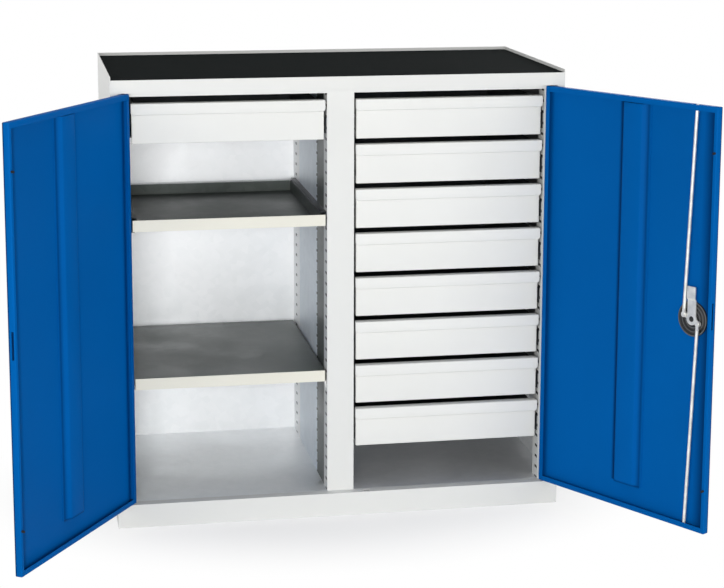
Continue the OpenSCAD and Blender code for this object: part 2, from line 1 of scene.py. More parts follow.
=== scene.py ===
"""Looks of a steel tool cabinet with two open doors, drawers, a tray and a shelf.

The carcass, doors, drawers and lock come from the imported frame. This script gives every one of
them a finish, adds the detail that folded sheet and rubber show, and sets up the studio.
Lengths are in metres, angles in degrees and colours in linear RGB.
"""
import logging
import math
from dataclasses import dataclass
from enum import Enum
from fnmatch import fnmatch
from typing import Callable, Optional, Union

import bpy
from mathutils import Matrix, Vector

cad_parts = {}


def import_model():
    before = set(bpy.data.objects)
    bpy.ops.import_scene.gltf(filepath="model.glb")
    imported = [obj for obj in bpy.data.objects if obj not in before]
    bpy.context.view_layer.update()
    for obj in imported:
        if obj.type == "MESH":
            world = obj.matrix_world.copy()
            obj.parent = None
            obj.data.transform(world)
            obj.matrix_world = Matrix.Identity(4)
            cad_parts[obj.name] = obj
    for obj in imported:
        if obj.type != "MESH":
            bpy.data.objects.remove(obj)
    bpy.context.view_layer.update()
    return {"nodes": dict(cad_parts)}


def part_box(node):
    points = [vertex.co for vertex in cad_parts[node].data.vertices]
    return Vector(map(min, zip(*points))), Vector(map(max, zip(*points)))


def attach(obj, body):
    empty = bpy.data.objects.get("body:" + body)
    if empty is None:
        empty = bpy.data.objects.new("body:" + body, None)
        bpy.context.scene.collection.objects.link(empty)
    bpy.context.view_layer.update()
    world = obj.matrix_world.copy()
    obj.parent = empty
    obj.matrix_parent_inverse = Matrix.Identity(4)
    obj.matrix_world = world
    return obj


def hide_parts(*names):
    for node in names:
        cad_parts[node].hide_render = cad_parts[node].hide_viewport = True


LOG = logging.getLogger("tool_cabinet")
Piece = bpy.types.Object
Socket = bpy.types.NodeSocket
Value = Union[Socket, float]
Test = Callable[[Vector, Vector], bool]


class Metal(Enum):
    """How much a finish mirrors like bare metal."""

    NONE = 0.0
    HALF = 0.5
    FULL = 1.0


class Side(Enum):
    """Side of the cabinet that a door hangs on, seen from the front."""

    LEFT = -1
    RIGHT = 1


@dataclass(frozen=True)
class CameraSpec:
    """Camera of the photograph: its place, its turn and its lens, with pixels of that frame."""

    place: tuple = (-0.71483, -4.30786, 1.46477)
    yaw: float = 10.608
    pitch: float = 10.068
    roll: float = 0.16
    focal_px: float = 1909.29
    centre_x_px: float = -0.2
    centre_y_px: float = -100.0
    width_px: int = 724
    sensor_mm: float = 36.0
    far_end: float = 50.0


@dataclass(frozen=True)
class LightSpec:
    """One soft area light: its place, the point it faces, its size and its power in watts."""

    name: str
    place: tuple
    target: tuple
    size: float
    power: float


@dataclass(frozen=True)
class BackdropSpec:
    """Pale floor that fades to white, and the white surround.

    Attributes:
        size: Side of the floor.
        drop: Gap between the cabinet and the floor.
        tones: Darkest and lightest colour of the floor.
        patch: Noise scale of the floor, per metre.
        roughness: Roughness of the floor.
        gloss: Specular level of the floor.
        reach: Distances along X and Y that count as one in the fade.
        fade: Where the fade to white begins and ends, in those distances.
        least: Share of white before the fade begins.
        air: Colour of the light that comes from the surround.
        air_strength: Strength of that light.
    """

    size: float = 40.0
    drop: float = 0.0005
    tones: tuple = ((0.74, 0.74, 0.74), (0.78, 0.78, 0.78))
    patch: float = 0.6
    roughness: float = 0.9
    gloss: float = 0.1
    reach: tuple = (1.0, 0.75)
    fade: tuple = (0.40, 0.85)
    least: float = 0.6
    air: tuple = (0.93, 0.96, 1.0)
    air_strength: float = 0.22


@dataclass(frozen=True)
class FinishSpec:
    """Numbers of a paint, plastic, rubber or metal.

    Attributes:
        name: Name of the material.
        color: Base colour.
        roughness: Middle roughness of the surface.
        metal: Whether it is bare metal.
        tone: Share by which the colour wanders over the surface.
        patch: Noise scale of that wandering, per metre.
        grain: Noise scale of the fine surface texture, per metre.
        bump: Height of the fine texture.
        gloss: Specular level of the surface, where 0.5 is that of plain plastic.
    """

    name: str
    color: tuple
    roughness: float
    metal: Metal = Metal.NONE
    tone: float = 0.03
    patch: float = 3.0
    grain: float = 900.0
    bump: float = 0.00004
    gloss: float = 0.5


@dataclass(frozen=True)
class ZincSpec:
    """Numbers of galvanised sheet.

    Attributes:
        dark: Darkest colour.
        light: Lightest colour.
        crystals: Cell scale of the zinc crystals, per metre.
        clouds: Noise scale of the clouds over them, per metre.
        crystal_share: Share of the crystals in the pattern, where the clouds have the rest.
        roughness: Lowest and highest roughness.
        metal: How much it mirrors like bare metal.
    """

    dark: tuple
    light: tuple
    crystals: float = 55.0
    clouds: float = 6.0
    crystal_share: float = 0.16
    roughness: tuple = (0.36, 0.52)
    metal: float = 0.65


@dataclass(frozen=True)
class MatSpec:
    """Numbers of the rubber of the top mat.

    Attributes:
        dark: Darkest colour.
        light: Lightest colour.
        streaks: Noise scale of the streaks, per metre.
        stretch: Scale of the streaks along each axis.
        roughness: Lowest and highest roughness.
        grain: Noise scale of the fine surface texture, per metre.
        bump: Height of the fine texture.
        gloss: Specular level.
    """

    dark: tuple = (0.004, 0.006, 0.006)
    light: tuple = (0.010, 0.012, 0.012)
    streaks: float = 14.0
    stretch: tuple = (1.0, 6.0, 1.0)
    roughness: tuple = (0.78, 0.90)
    grain: float = 1200.0
    bump: float = 0.00006
    gloss: float = 0.02


@dataclass(frozen=True)
class Band:
    """Band of painted shade along a line: where it has faded out and its value on the line."""

    width: float
    share: float


BLUE = FinishSpec("blue_powder_coat", (0.0, 0.102, 0.370), 0.50, tone=0.05, patch=2.2,
                  bump=0.00003, gloss=0.02)
GREY = FinishSpec("light_grey_powder_coat", (0.730, 0.732, 0.705), 0.50, tone=0.015, gloss=0.25)
DRAWER_GREY = FinishSpec("drawer_powder_coat", (0.765, 0.766, 0.735), 0.50, tone=0.015,
                         patch=5.0, gloss=0.25)
CREAM = FinishSpec("warm_grey_powder_coat", (0.725, 0.710, 0.620), 0.50, tone=0.02, patch=6.0)
RUBBER = FinishSpec("buffer_rubber", (0.012, 0.012, 0.014), 0.70, tone=0.2, patch=60.0, gloss=0.2)
PLASTIC = FinishSpec("black_plastic", (0.010, 0.011, 0.011), 0.34, tone=0.15, patch=40.0,
                     grain=1800.0)
PIN = FinishSpec("dark_pin_steel", (0.10, 0.10, 0.11), 0.35, Metal.FULL, tone=0.1, patch=60.0)
ZINC = FinishSpec("bright_zinc", (0.80, 0.80, 0.765), 0.34, Metal.HALF, tone=0.14, patch=60.0)
# Slides and rails near black: painted shade, so that they read dark in the gaps
SHADED_SLIDE = FinishSpec("slide_painted_shade", (0.05, 0.055, 0.06), 0.42, Metal.HALF, tone=0.15, patch=18.0)
BRIGHT_ZINC = ZincSpec((0.84, 0.86, 0.87), (0.94, 0.95, 0.96))
# Galvanised sheet of the partition, darker than that of the back as painted shade
SHADED_PARTITION_ZINC = ZincSpec((0.64, 0.71, 0.78), (0.82, 0.88, 0.94))
DARK_ZINC = ZincSpec((0.034, 0.044, 0.040), (0.080, 0.094, 0.086), metal=0.35)
# Drawer boxes in near black galvanised sheet: painted shade, so that the gaps between the fronts
# look dark
BOX_SHADE_ZINC = ZincSpec((0.050, 0.056, 0.060), (0.090, 0.098, 0.104))
PARTITION_METAL = 0.4
# Near black of the painted shade around the slots and at the tips of the rods
SHADE_BLACK = (0.006, 0.007, 0.008)
# Pale grey of the painted highlight on the crests of the rings of the lock case
RING_HIGHLIGHT_GREY = (0.26, 0.27, 0.27)
# Dark blue of the painted shade in the inner corners of the doors and beside their stiffeners
DOOR_SHADE_BLUE = (0.0, 0.018, 0.085)

# Octaves of the noise for patches of colour, for a fine texture and for clouds and streaks
PATCH_DETAIL = 4.0
GRAIN_DETAIL = 2.0
CLOUD_DETAIL = 5.0
# Half the range over which the roughness of a finish wanders
ROUGH_SWING = 0.04
# Fine texture of galvanised sheet: scale per metre, octaves and height
ZINC_GRAIN = 500.0
ZINC_DETAIL = 3.0
ZINC_BUMP = 0.00003
# Rings of the lock case: value over which their crests take a pale painted highlight, and height
RING_HIGHLIGHT_FROM = 0.55
RING_BUMP = 0.0004
# Noise values between which nearly all of a noise texture lies
NOISE_LOW = 0.3
NOISE_HIGH = 0.7
# Places past every side of the cabinet, for a finish without that limit
FAR = 9.0
# Height of the lowest slot, pitch, and width and half height of the painted shade around a slot,
# the last as a share of the pitch
SLOT_FIRST = 0.077
SLOT_PITCH = 0.025
SLOT_SHADE = 0.018
SLOT_SHARE = 0.12
# Bands of painted shade on a door: beside its edges, along the stiffener and under its lower end
FREE_BAND = Band(0.045, 1.5)
HINGE_BAND = Band(0.016, 0.5)
END_BAND = Band(0.014, 0.6)
NEAR_HAT_SHADE = Band(0.009, 1.0)
FAR_HAT_SHADE = Band(0.006, 0.6)
FOOT_HAT_SHADE = Band(0.006, 0.8)
FREE_MOST = 0.85
HAT_SHADE_GAP = 0.001
# Depth of the inner corners of a door that take painted shade, in radii of its folds
CORNER_FOLDS = 1.6
# Places of the two inputs and the output on a mix node, for colours and for numbers
COLOR_IN, COLOR_OUT = (6, 7), 2
NUMBER_IN, NUMBER_OUT = (2, 3), 0
# Share of a normal along an axis over which a face counts as facing that way
FACING = 0.99
# Largest difference between lengths that count as the same
SLACK = 1e-5

# The first pattern that fits the name of a node gives its finish
NODE_FINISHES = (
    ("side_panel_*", "side"), ("back_panel", "back"), ("floor_panel", "galvanised"),
    ("base_rail", "galvanised"), ("partition", "partition"), ("front_post", "post"),
    ("upright_front_*", "post"), ("upright_rear_*", "galvanised"), ("rubber_mat", "mat"),
    ("buffers_*", "rubber"), ("fixed_shelf", "shelf"), ("tray", "tray"), ("hinge_pins", "pin"),
    ("shelf_clips", "zinc"), ("lock_cam", "zinc"), ("lock_*", "plastic"),
    ("rod_guides", "plastic"), ("rod_*", "rod"), ("door_*", "blue"), ("runners_*", "slide"),
    ("*_rails", "slide"), ("*_box", "box"), ("drawer_*", "drawer"), ("*", "grey"),
)
LIGHTS = (
    LightSpec("key_front", (-1.0, -4.6, 1.15), (0.0, 0.0, 0.55), 1.1, 92.0),
    LightSpec("soft_left", (-2.9, -3.1, 1.3), (0.0, 0.0, 0.55), 1.6, 30.0),
    LightSpec("soft_right", (2.6, -3.5, 1.3), (0.0, 0.0, 0.55), 1.6, 47.0),
    LightSpec("soft_back_left", (-2.8, 3.6, 1.3), (0.0, 0.0, 0.5), 1.8, 46.0),
    LightSpec("soft_back_right", (2.4, 3.8, 1.3), (0.0, 0.0, 0.5), 1.8, 62.0),
    LightSpec("top_soft", (0.0, 0.2, 3.4), (0.0, 0.0, 0.9), 2.2, 30.0),
)


class Graph:
    """Node tree with short ways to add and join nodes."""

    def __init__(self, tree: bpy.types.NodeTree) -> None:
        """Takes over a node tree and empties it."""
        self.tree = tree
        tree.nodes.clear()

    def join(self, value: Value, slot: Socket) -> None:
        """Links a socket to an input, or writes a plain number on it.

        Args:
            value: Output socket or number.
            slot: Input socket.
        """
        if isinstance(value, (int, float)):
            slot.default_value = value
        else:
            self.tree.links.new(value, slot)

    def node(self, kind: str, **values: object) -> bpy.types.Node:
        """Adds a node and sets its properties and its inputs.

        Args:
            kind: Node type.
            **values: Properties by name, or input values by name with in_ before it.

        Returns:
            The new node.
        """
        made = self.tree.nodes.new(kind)
        for key, value in values.items():
            if key.startswith("in_"):
                made.inputs[key[3:].replace("_", " ")].default_value = value
            else:
                setattr(made, key, value)
        return made

    def math(self, operation: str, first: Value, second: Value = 0.0) -> Socket:
        """Adds a math node.

        Args:
            operation: Name of the operation.
            first: Socket or number.
            second: Socket or number.

        Returns:
            The socket with the result.
        """
        made = self.node("ShaderNodeMath", operation=operation)
        self.join(first, made.inputs[0])
        self.join(second, made.inputs[1])
        return made.outputs["Value"]

    def chain(self, operation: str, *values: Value) -> Socket:
        """Runs one operation over all values, from the first to the last.

        Args:
            operation: Name of the operation.
            *values: One or more sockets or numbers.

        Returns:
            The socket with the result.
        """
        result = values[0]
        for value in values[1:]:
            result = self.math(operation, result, value)
        return result

    def backdrop_rays(self) -> Socket:
        """Gives a socket that is 1 for rays that see the backdrop and 0 for rays that light.

        Returns:
            The socket.
        """
        path = self.node("ShaderNodeLightPath")
        return self.chain("MAXIMUM", *(path.outputs[f"Is {kind} Ray"]
                                       for kind in ("Camera", "Glossy", "Transmission")))


class Finish(Graph):
    """A procedural material, built node by node on Object coordinates."""

    def __init__(self, name: str) -> None:
        """Starts a material with a plain shader.

        Args:
            name: Name of the material.
        """
        self.material = bpy.data.materials.new(name)
        self.material.use_nodes = True
        super().__init__(self.material.node_tree)
        self.out = self.node("ShaderNodeOutputMaterial")
        self.bsdf = self.node("ShaderNodeBsdfPrincipled")
        self.join(self.bsdf.outputs["BSDF"], self.out.inputs["Surface"])
        self.coords = self.node("ShaderNodeTexCoord").outputs["Object"]

    def axis(self, name: str) -> Socket:
        """Gives one coordinate of the surface point.

        Args:
            name: X, Y or Z.

        Returns:
            The socket with the coordinate.
        """
        split = self.node("ShaderNodeSeparateXYZ")
        self.join(self.coords, split.inputs["Vector"])
        return split.outputs[name]

    def noise(self, scale: float, detail: float, stretch: tuple = (1.0, 1.0, 1.0)) -> Socket:
        """Adds a noise texture.

        Args:
            scale: Noise scale per metre.
            detail: Octaves of the noise.
            stretch: Scale of the coordinates along each axis.

        Returns:
            The socket with the noise value.
        """
        mapping = self.node("ShaderNodeMapping", in_Scale=stretch)
        self.join(self.coords, mapping.inputs["Vector"])
        texture = self.node("ShaderNodeTexNoise", in_Scale=scale, in_Detail=detail)
        self.join(mapping.outputs["Vector"], texture.inputs["Vector"])
        return texture.outputs["Fac"]

    def blend(self, factor: Socket, low: tuple, high: tuple) -> Socket:
        """Runs a noise value through a colour ramp with two ends.

        Args:
            factor: Socket with the value.
            low: Colour where the noise is low.
            high: Colour where the noise is high.

        Returns:
            The socket with the colour.
        """
        ramp = self.node("ShaderNodeValToRGB")
        ends = zip(ramp.color_ramp.elements, (NOISE_LOW, NOISE_HIGH), (low, high))
        for element, position, color in ends:
            element.position = position
            element.color = (*color, 1.0)
        self.join(factor, ramp.inputs["Fac"])
        return ramp.outputs["Color"]

    def spread(self, factor: Socket, low: float, high: float) -> Socket:
        """Maps a noise value to a range.

        Args:
            factor: Socket with the value.
            low: Result where the noise is low.
            high: Result where the noise is high.

        Returns:
            The socket with the result.
        """
        made = self.node("ShaderNodeMapRange", in_From_Min=NOISE_LOW, in_From_Max=NOISE_HIGH,
                         in_To_Min=low, in_To_Max=high)
        self.join(factor, made.inputs["Value"])
        return made.outputs["Result"]

    def bump(self, height: Socket, distance: float) -> Socket:
        """Adds a bump node.

        Args:
            height: Socket with the height.
            distance: Height for a value of one.

        Returns:
            The socket with the normal.
        """
        made = self.node("ShaderNodeBump", in_Strength=1.0, in_Distance=distance)
        self.join(height, made.inputs["Height"])
        return made.outputs["Normal"]

    def grain(self, spec: Union[FinishSpec, MatSpec]) -> Socket:
        """Gives the normal of the fine texture of a finish."""
        return self.bump(self.noise(spec.grain, GRAIN_DETAIL), spec.bump)

    def zinc_grain(self) -> Socket:
        """Gives the normal of the fine texture of galvanised sheet."""
        return self.bump(self.noise(ZINC_GRAIN, ZINC_DETAIL), ZINC_BUMP)

    def paint(self, spec: FinishSpec) -> tuple:
        """Adds the faintly uneven look of a paint, plastic, rubber or metal.

        Args:
            spec: Numbers of the finish.

        Returns:
            The sockets with the colour and the roughness.
        """
        patch = self.noise(spec.patch, PATCH_DETAIL)
        color = self.blend(patch, scaled(spec.color, -spec.tone), scaled(spec.color, spec.tone))
        return color, self.spread(patch, spec.roughness - ROUGH_SWING,
                                  spec.roughness + ROUGH_SWING)

    def zinc(self, spec: ZincSpec) -> tuple:
        """Adds the mottled look of galvanised sheet.

        Args:
            spec: Numbers of the zinc.

        Returns:
            The sockets with the colour and the roughness.
        """
        cells = self.node("ShaderNodeTexVoronoi", feature="F1", in_Scale=spec.crystals)
        self.join(self.coords, cells.inputs["Vector"])
        shade = self.node("ShaderNodeSeparateColor")
        self.join(cells.outputs["Color"], shade.inputs["Color"])
        clouds = self.noise(spec.clouds, CLOUD_DETAIL)
        pattern = self.math(
            "ADD", self.math("MULTIPLY", shade.outputs["Red"], spec.crystal_share),
            self.math("MULTIPLY", clouds, 1.0 - spec.crystal_share))
        return (self.blend(pattern, spec.dark, spec.light),
                self.spread(pattern, *spec.roughness))

    def mixed(self, factor: Socket, low: tuple, high: tuple) -> tuple:
        """Mixes two pairs of colour and roughness by a value.

        Args:
            factor: Socket with the value, 0 for the first pair and 1 for the second.
            low: Colour socket and roughness socket of the first pair.
            high: Colour socket and roughness socket of the second pair.

        Returns:
            The sockets with the mixed colour and roughness.
        """
        tone = self.node("ShaderNodeMix", data_type="RGBA")
        rough = self.node("ShaderNodeMix", data_type="FLOAT")
        for mix, places, under, over in ((tone, COLOR_IN, low[0], high[0]),
                                         (rough, NUMBER_IN, low[1], high[1])):
            self.join(factor, mix.inputs["Factor"])
            self.join(under, mix.inputs[places[0]])
            self.join(over, mix.inputs[places[1]])
        return tone.outputs[COLOR_OUT], rough.outputs[NUMBER_OUT]

    def covered(self, color: Socket, share: Socket, over: tuple) -> Socket:
        """Lays a plain colour over another one.

        Args:
            color: Socket with the colour below.
            share: Socket with the share of the plain colour.
            over: The plain colour.

        Returns:
            The socket with the covered colour.
        """
        mix = self.node("ShaderNodeMix", data_type="RGBA")
        self.join(share, mix.inputs["Factor"])
        self.join(color, mix.inputs[COLOR_IN[0]])
        mix.inputs[COLOR_IN[1]].default_value = (*over, 1.0)
        return mix.outputs[COLOR_OUT]

    def band(self, coordinate: Socket, place: float, band: Band) -> Socket:
        """Finds the surface close to a line, strongest on the line itself.

        Args:
            coordinate: Socket with the coordinate across the line.
            place: Place of the line.
            band: Numbers of the band.

        Returns:
            A socket with the value of the band.
        """
        off = self.math("ABSOLUTE", self.math("SUBTRACT", coordinate, place))
        fall = self.math("SUBTRACT", 1.0, self.math("DIVIDE", off, band.width))
        return self.math("MULTIPLY", self.math("MAXIMUM", fall, 0.0), band.share)

    def slot_shade(self, columns: tuple) -> Socket:
        """Finds the surface close around the slots, where painted shade darkens the sheet like the
        shadow in the slots.

        Args:
            columns: Y of every column of slots.

        Returns:
            A socket that is 1 around the slots and 0 elsewhere.
        """
        beside = self.chain("MINIMUM", *(self.math("ABSOLUTE", self.math(
            "SUBTRACT", self.axis("Y"), column)) for column in columns))
        turn = self.math("DIVIDE", self.math("SUBTRACT", self.axis("Z"), SLOT_FIRST), SLOT_PITCH)
        part = self.math("SUBTRACT", self.math("FRACT", self.math("ADD", turn, 0.5)), 0.5)
        return self.math("MULTIPLY", self.math("LESS_THAN", beside, SLOT_SHADE / 2),
                         self.math("LESS_THAN", self.math("ABSOLUTE", part), SLOT_SHARE))

    def surface(self, look: tuple, normal: Socket, metal: Value = 0.0,
                gloss: float = 0.5) -> "Finish":
        """Joins a surface to the shader.

        Args:
            look: Sockets with the colour and the roughness.
            normal: Socket with the normal.
            metal: How much it mirrors like bare metal.
            gloss: Specular level.

        Returns:
            This finish.
        """
        names = ("Base Color", "Roughness", "Normal", "Metallic", "Specular IOR Level")
        for name, value in zip(names, (*look, normal, metal, gloss)):
            self.join(value, self.bsdf.inputs[name])
        return self


def scaled(color: tuple, share: float) -> tuple:
    """Brightens a colour by a share of itself, kept under one, or darkens it."""
    return tuple(min(1.0, part * (1.0 + share)) for part in color)


def plain_finish(spec: FinishSpec) -> Finish:
    """Makes a paint, plastic, rubber or metal finish from its numbers."""
    made = Finish(spec.name)
    return made.surface(made.paint(spec), made.grain(spec), spec.metal.value, spec.gloss)


def galvanised_finish(name: str, spec: ZincSpec) -> Finish:
    """Makes bare galvanised sheet from its name and numbers."""
    made = Finish(name)
    return made.surface(made.zinc(spec), made.zinc_grain(), spec.metal)


def post_finish(name: str, spec: FinishSpec, column: float) -> Finish:
    """Makes a painted post with a column of slots and painted shade around them.

    Args:
        name: Name of the material.
        spec: Finish of the paint.
        column: Y of its column of slots.

    Returns:
        The finish.
    """
    made = Finish(name)
    color, rough = made.paint(spec)
    # Painted shade around the slots
    shaded = made.covered(color, made.slot_shade((column,)), SHADE_BLACK)
    return made.surface((shaded, rough), made.grain(spec), gloss=spec.gloss)


def partition_finish(name: str, dark_end: float, light_start: float, columns: tuple) -> Finish:
    """Makes the partition: galvanised sheet with a dark front strip, a middle darkened by painted
    shade and a light rear strip.

    Args:
        name: Name of the material.
        dark_end: Y where the dark strip ends.
        light_start: Y where the light strip begins.
        columns: Y of its columns of slots.

    Returns:
        The finish.
    """
    made = Finish(name)
    middle = made.math("GREATER_THAN", made.axis("Y"), dark_end)
    rear = made.math("GREATER_THAN", made.axis("Y"), light_start)
    front_pair = made.mixed(middle, made.zinc(DARK_ZINC), made.zinc(SHADED_PARTITION_ZINC))
    color, rough = made.mixed(rear, front_pair, made.zinc(BRIGHT_ZINC))
    # Painted shade around the slots
    shaded = made.covered(color, made.slot_shade(columns), SHADE_BLACK)
    return made.surface((shaded, rough), made.zinc_grain(), PARTITION_METAL)


def ringed_finish(name: str, spec: FinishSpec, centre: tuple, spacing: float) -> Finish:
    """Makes moulded plastic with rings around a centre, their crests pale as a painted highlight.

    Args:
        name: Name of the material.
        spec: Finish of the plastic.
        centre: Centre of the rings.
        spacing: Distance from ring to ring.

    Returns:
        The finish.
    """
    made = Finish(name)
    color, rough = made.paint(spec)
    offs = [made.math("SUBTRACT", made.axis(axis), place) for axis, place in zip("XYZ", centre)]
    squares = [made.math("MULTIPLY", off, off) for off in offs]
    reach = made.math("SQRT", made.chain("ADD", *squares))
    rings = made.math("SINE", made.math("MULTIPLY", reach, 2 * math.pi / spacing))
    # Painted highlight on the crests of the rings
    ring_highlight = made.math("MAXIMUM", made.math("SUBTRACT", rings, RING_HIGHLIGHT_FROM), 0.0)
    return made.surface((made.covered(color, ring_highlight, RING_HIGHLIGHT_GREY), rough),
                        made.bump(rings, RING_BUMP), gloss=spec.gloss)


def lined_finish(name: str, spec: FinishSpec, front: float) -> Finish:
    """Makes a tray or shelf with a painted front edge and a dark zinc coated pan behind it.

    Args:
        name: Name of the material.
        spec: Finish of the front edge.
        front: Y before which the sheet is painted.

    Returns:
        The finish.
    """
    made = Finish(name)
    behind = made.math("GREATER_THAN", made.axis("Y"), front)
    look = made.mixed(behind, made.paint(spec), made.zinc(DARK_ZINC))
    return made.surface(look, made.grain(spec), made.math("MULTIPLY", behind, DARK_ZINC.metal))


def two_sided_finish(name: str, spec: FinishSpec, axis: str, limit: float, rim: float,
                     front: float = -FAR, rear: float = FAR) -> Finish:
    """Makes a panel that is painted outside and galvanised inside.

    Args:
        name: Name of the material.
        spec: Finish of the outside.
        axis: Axis that the panel stands across.
        limit: Distance from the middle beyond which the surface is outside.
        rim: Z over which the surface is painted, as on the rim.
        front: Y before which the surface is painted, as on the front folds.
        rear: Y behind which the surface is painted, as on the rear folds.

    Returns:
        The finish.
    """
    made = Finish(name)
    place = made.axis(axis)
    if axis == "X":
        place = made.math("ABSOLUTE", place)
    paint = made.chain("MAXIMUM", made.math("GREATER_THAN", place, limit),
                       made.math("LESS_THAN", made.axis("Y"), front),
                       made.math("GREATER_THAN", made.axis("Y"), rear),
                       made.math("GREATER_THAN", made.axis("Z"), rim))
    look = made.mixed(paint, made.zinc(BRIGHT_ZINC), made.paint(spec))
    metal = made.math("MULTIPLY", made.math("SUBTRACT", 1.0, paint), BRIGHT_ZINC.metal)
    return made.surface(look, made.grain(spec), metal, spec.gloss)


def rubber_mat_finish(name: str, spec: MatSpec) -> Finish:
    """Makes the black rubber of the top mat, with a streaky sheen along its ribs.

    Args:
        name: Name of the material.
        spec: Numbers of the rubber.

    Returns:
        The finish.
    """
    made = Finish(name)
    streaks = made.noise(spec.streaks, CLOUD_DETAIL, spec.stretch)
    look = made.blend(streaks, spec.dark, spec.light), made.spread(streaks, *spec.roughness)
    return made.surface(look, made.grain(spec), gloss=spec.gloss)


def rod_finish(name: str, spec: FinishSpec, ends: tuple) -> Finish:
    """Makes the zinc of the rods, with painted shade blackening their tips where they run into the
    guides and the gaps at the ends of the door.

    Args:
        name: Name of the material.
        spec: Finish of the zinc.
        ends: Z of the lower and of the upper tip.

    Returns:
        The finish.
    """
    made = Finish(name)
    color, rough = made.paint(spec)
    # Painted shade on the tips of the rods
    tips = made.math("MAXIMUM", made.math("LESS_THAN", made.axis("Z"), ends[0]),
                     made.math("GREATER_THAN", made.axis("Z"), ends[1]))
    return made.surface((made.covered(color, tips, SHADE_BLACK), rough), made.grain(spec),
                        spec.metal.value)


def choose(*objects: Piece) -> None:
    """Selects only these objects, in object mode, and makes the first one active.

    Args:
        *objects: Objects to select, or none.
    """
    if bpy.context.object is not None and bpy.context.object.mode != "OBJECT":
        bpy.ops.object.mode_set(mode="OBJECT")
    bpy.ops.object.select_all(action="DESELECT")
    for obj in objects:
        obj.select_set(True)
    if objects:
        bpy.context.view_layer.objects.active = objects[0]


def name_primitive(name: str) -> Piece:
    """Names the primitive just added and puts its place and size in its mesh.

    Args:
        name: Name of the object.

    Returns:
        The object.
    """
    made = bpy.context.object
    made.name = name
    bpy.ops.object.transform_apply(location=True, rotation=True, scale=True)
    return made


def start_box(name: str, low: tuple, high: tuple) -> Piece:
    """Adds a cube primitive at its size and place.

    Args:
        name: Name of the object.
        low: Lowest corner.
        high: Highest corner.

    Returns:
        The new object, with its place in its mesh.
    """
    choose()
    centre = [(a + b) / 2 for a, b in zip(low, high)]
    bpy.ops.mesh.primitive_cube_add(size=1.0, location=centre)
    bpy.context.object.scale = [b - a for a, b in zip(low, high)]
    return name_primitive(name)


def start_disc(name: str, centre: tuple, radius: float, depths: tuple, corners: int = 96) -> Piece:
    """Adds a cylinder primitive that stands along Y.

    Args:
        name: Name of the object.
        centre: X and Z of its axis.
        radius: Its radius.
        depths: Its lower and upper Y.
        corners: Number of corners of the round.

    Returns:
        The new object, with its place in its mesh.
    """
    choose()
    bpy.ops.mesh.primitive_cylinder_add(
        vertices=corners, radius=radius, depth=depths[1] - depths[0],
        location=(centre[0], sum(depths) / 2, centre[1]), rotation=(math.pi / 2, 0.0, 0.0))
    return name_primitive(name)


def start_picking(obj: Piece, mode: tuple) -> None:
    """Makes an object active in object mode with nothing of its mesh selected.

    Args:
        obj: Object to make active.
        mode: Whether corners, edges and faces can be selected.
    """
    choose(obj)
    bpy.context.tool_settings.mesh_select_mode = mode
    for group in (obj.data.polygons, obj.data.edges, obj.data.vertices):
        for item in group:
            item.select = False


def pick_faces(obj: Piece, test: Optional[Test] = None) -> None:
    """Enters edit mode with the faces that pass a test selected.

    Args:
        obj: Object to edit.
        test: Function of the centre and the normal of a face, or None for all faces.
    """
    start_picking(obj, (False, False, True))
    for face in obj.data.polygons:
        face.select = test is None or bool(test(face.center, face.normal))
    bpy.ops.object.mode_set(mode="EDIT")


def pick_edges(obj: Piece, test: Test) -> None:
    """Enters edit mode with the edges that pass a test selected.

    Args:
        obj: Object to edit.
        test: Function of the two ends of an edge.
    """
    start_picking(obj, (False, True, False))
    corners = obj.data.vertices
    for edge in obj.data.edges:
        if test(corners[edge.vertices[0]].co, corners[edge.vertices[1]].co):
            edge.select = True
            for index in edge.vertices:
                corners[index].select = True
    bpy.ops.object.mode_set(mode="EDIT")


def round_edges(obj: Piece, test: Test, offset: float, segments: int = 3) -> None:
    """Bevels the edges that pass a test.

    Args:
        obj: Object to edit.
        test: Function of the two ends of an edge.
        offset: Width of the bevel.
        segments: Number of its segments.
    """
    pick_edges(obj, test)
    bpy.ops.mesh.bevel(offset=offset, segments=segments, affect="EDGES")
    bpy.ops.object.mode_set(mode="OBJECT")


def draw_out(step: tuple) -> None:
    """Extrudes the picked faces by a step."""
    bpy.ops.mesh.extrude_region_move(TRANSFORM_OT_translate={"value": step})


def near(value: float, target: float, slack: float = SLACK) -> bool:
    """Tells whether two lengths agree within a slack."""
    return abs(value - target) < slack


def at_depth(level: float) -> Test:
    """Gives the test for edges that lie across the depth Y."""
    return lambda a, b: near(a.y, level) and near(b.y, level)


def apply_solidify(obj: Piece, wall: float) -> None:
    """Gives an open shell a wall to its inside.

    Args:
        obj: Shell whose faces point outwards.
        wall: Thickness of the wall.
    """
    choose(obj)
    wall_modifier = obj.modifiers.new("wall", "SOLIDIFY")
    wall_modifier.thickness = wall
    wall_modifier.offset = -1.0
    wall_modifier.use_even_offset = True
    bpy.ops.object.modifier_apply(modifier=wall_modifier.name)


def cut_away(obj: Piece, cutter: Piece) -> None:
    """Cuts one object out of another and deletes the cutter.

    Args:
        obj: Object that keeps its name.
        cutter: Object that is cut out and deleted.
    """
    choose(obj)
    cut = obj.modifiers.new("cut", "BOOLEAN")
    cut.operation = "DIFFERENCE"
    cut.solver = "EXACT"
    cut.object = cutter
    bpy.ops.object.modifier_apply(modifier=cut.name)
    bpy.data.objects.remove(cutter, do_unlink=True)


def join_all(target: Piece, *others: Piece) -> None:
    """Joins pieces into one object that keeps the name of the first."""
    choose(target, *others)
    bpy.ops.object.join()


def smooth(obj: Piece, angle: float = 35.0) -> None:
    """Turns the faces outwards and shades soft edges smooth.

    Args:
        obj: Finished piece.
        angle: Largest angle between faces that is shaded smooth.
    """
    pick_faces(obj)
    bpy.ops.mesh.normals_make_consistent(inside=False)
    bpy.ops.object.mode_set(mode="OBJECT")
    bpy.ops.object.shade_smooth_by_angle(angle=math.radians(angle))


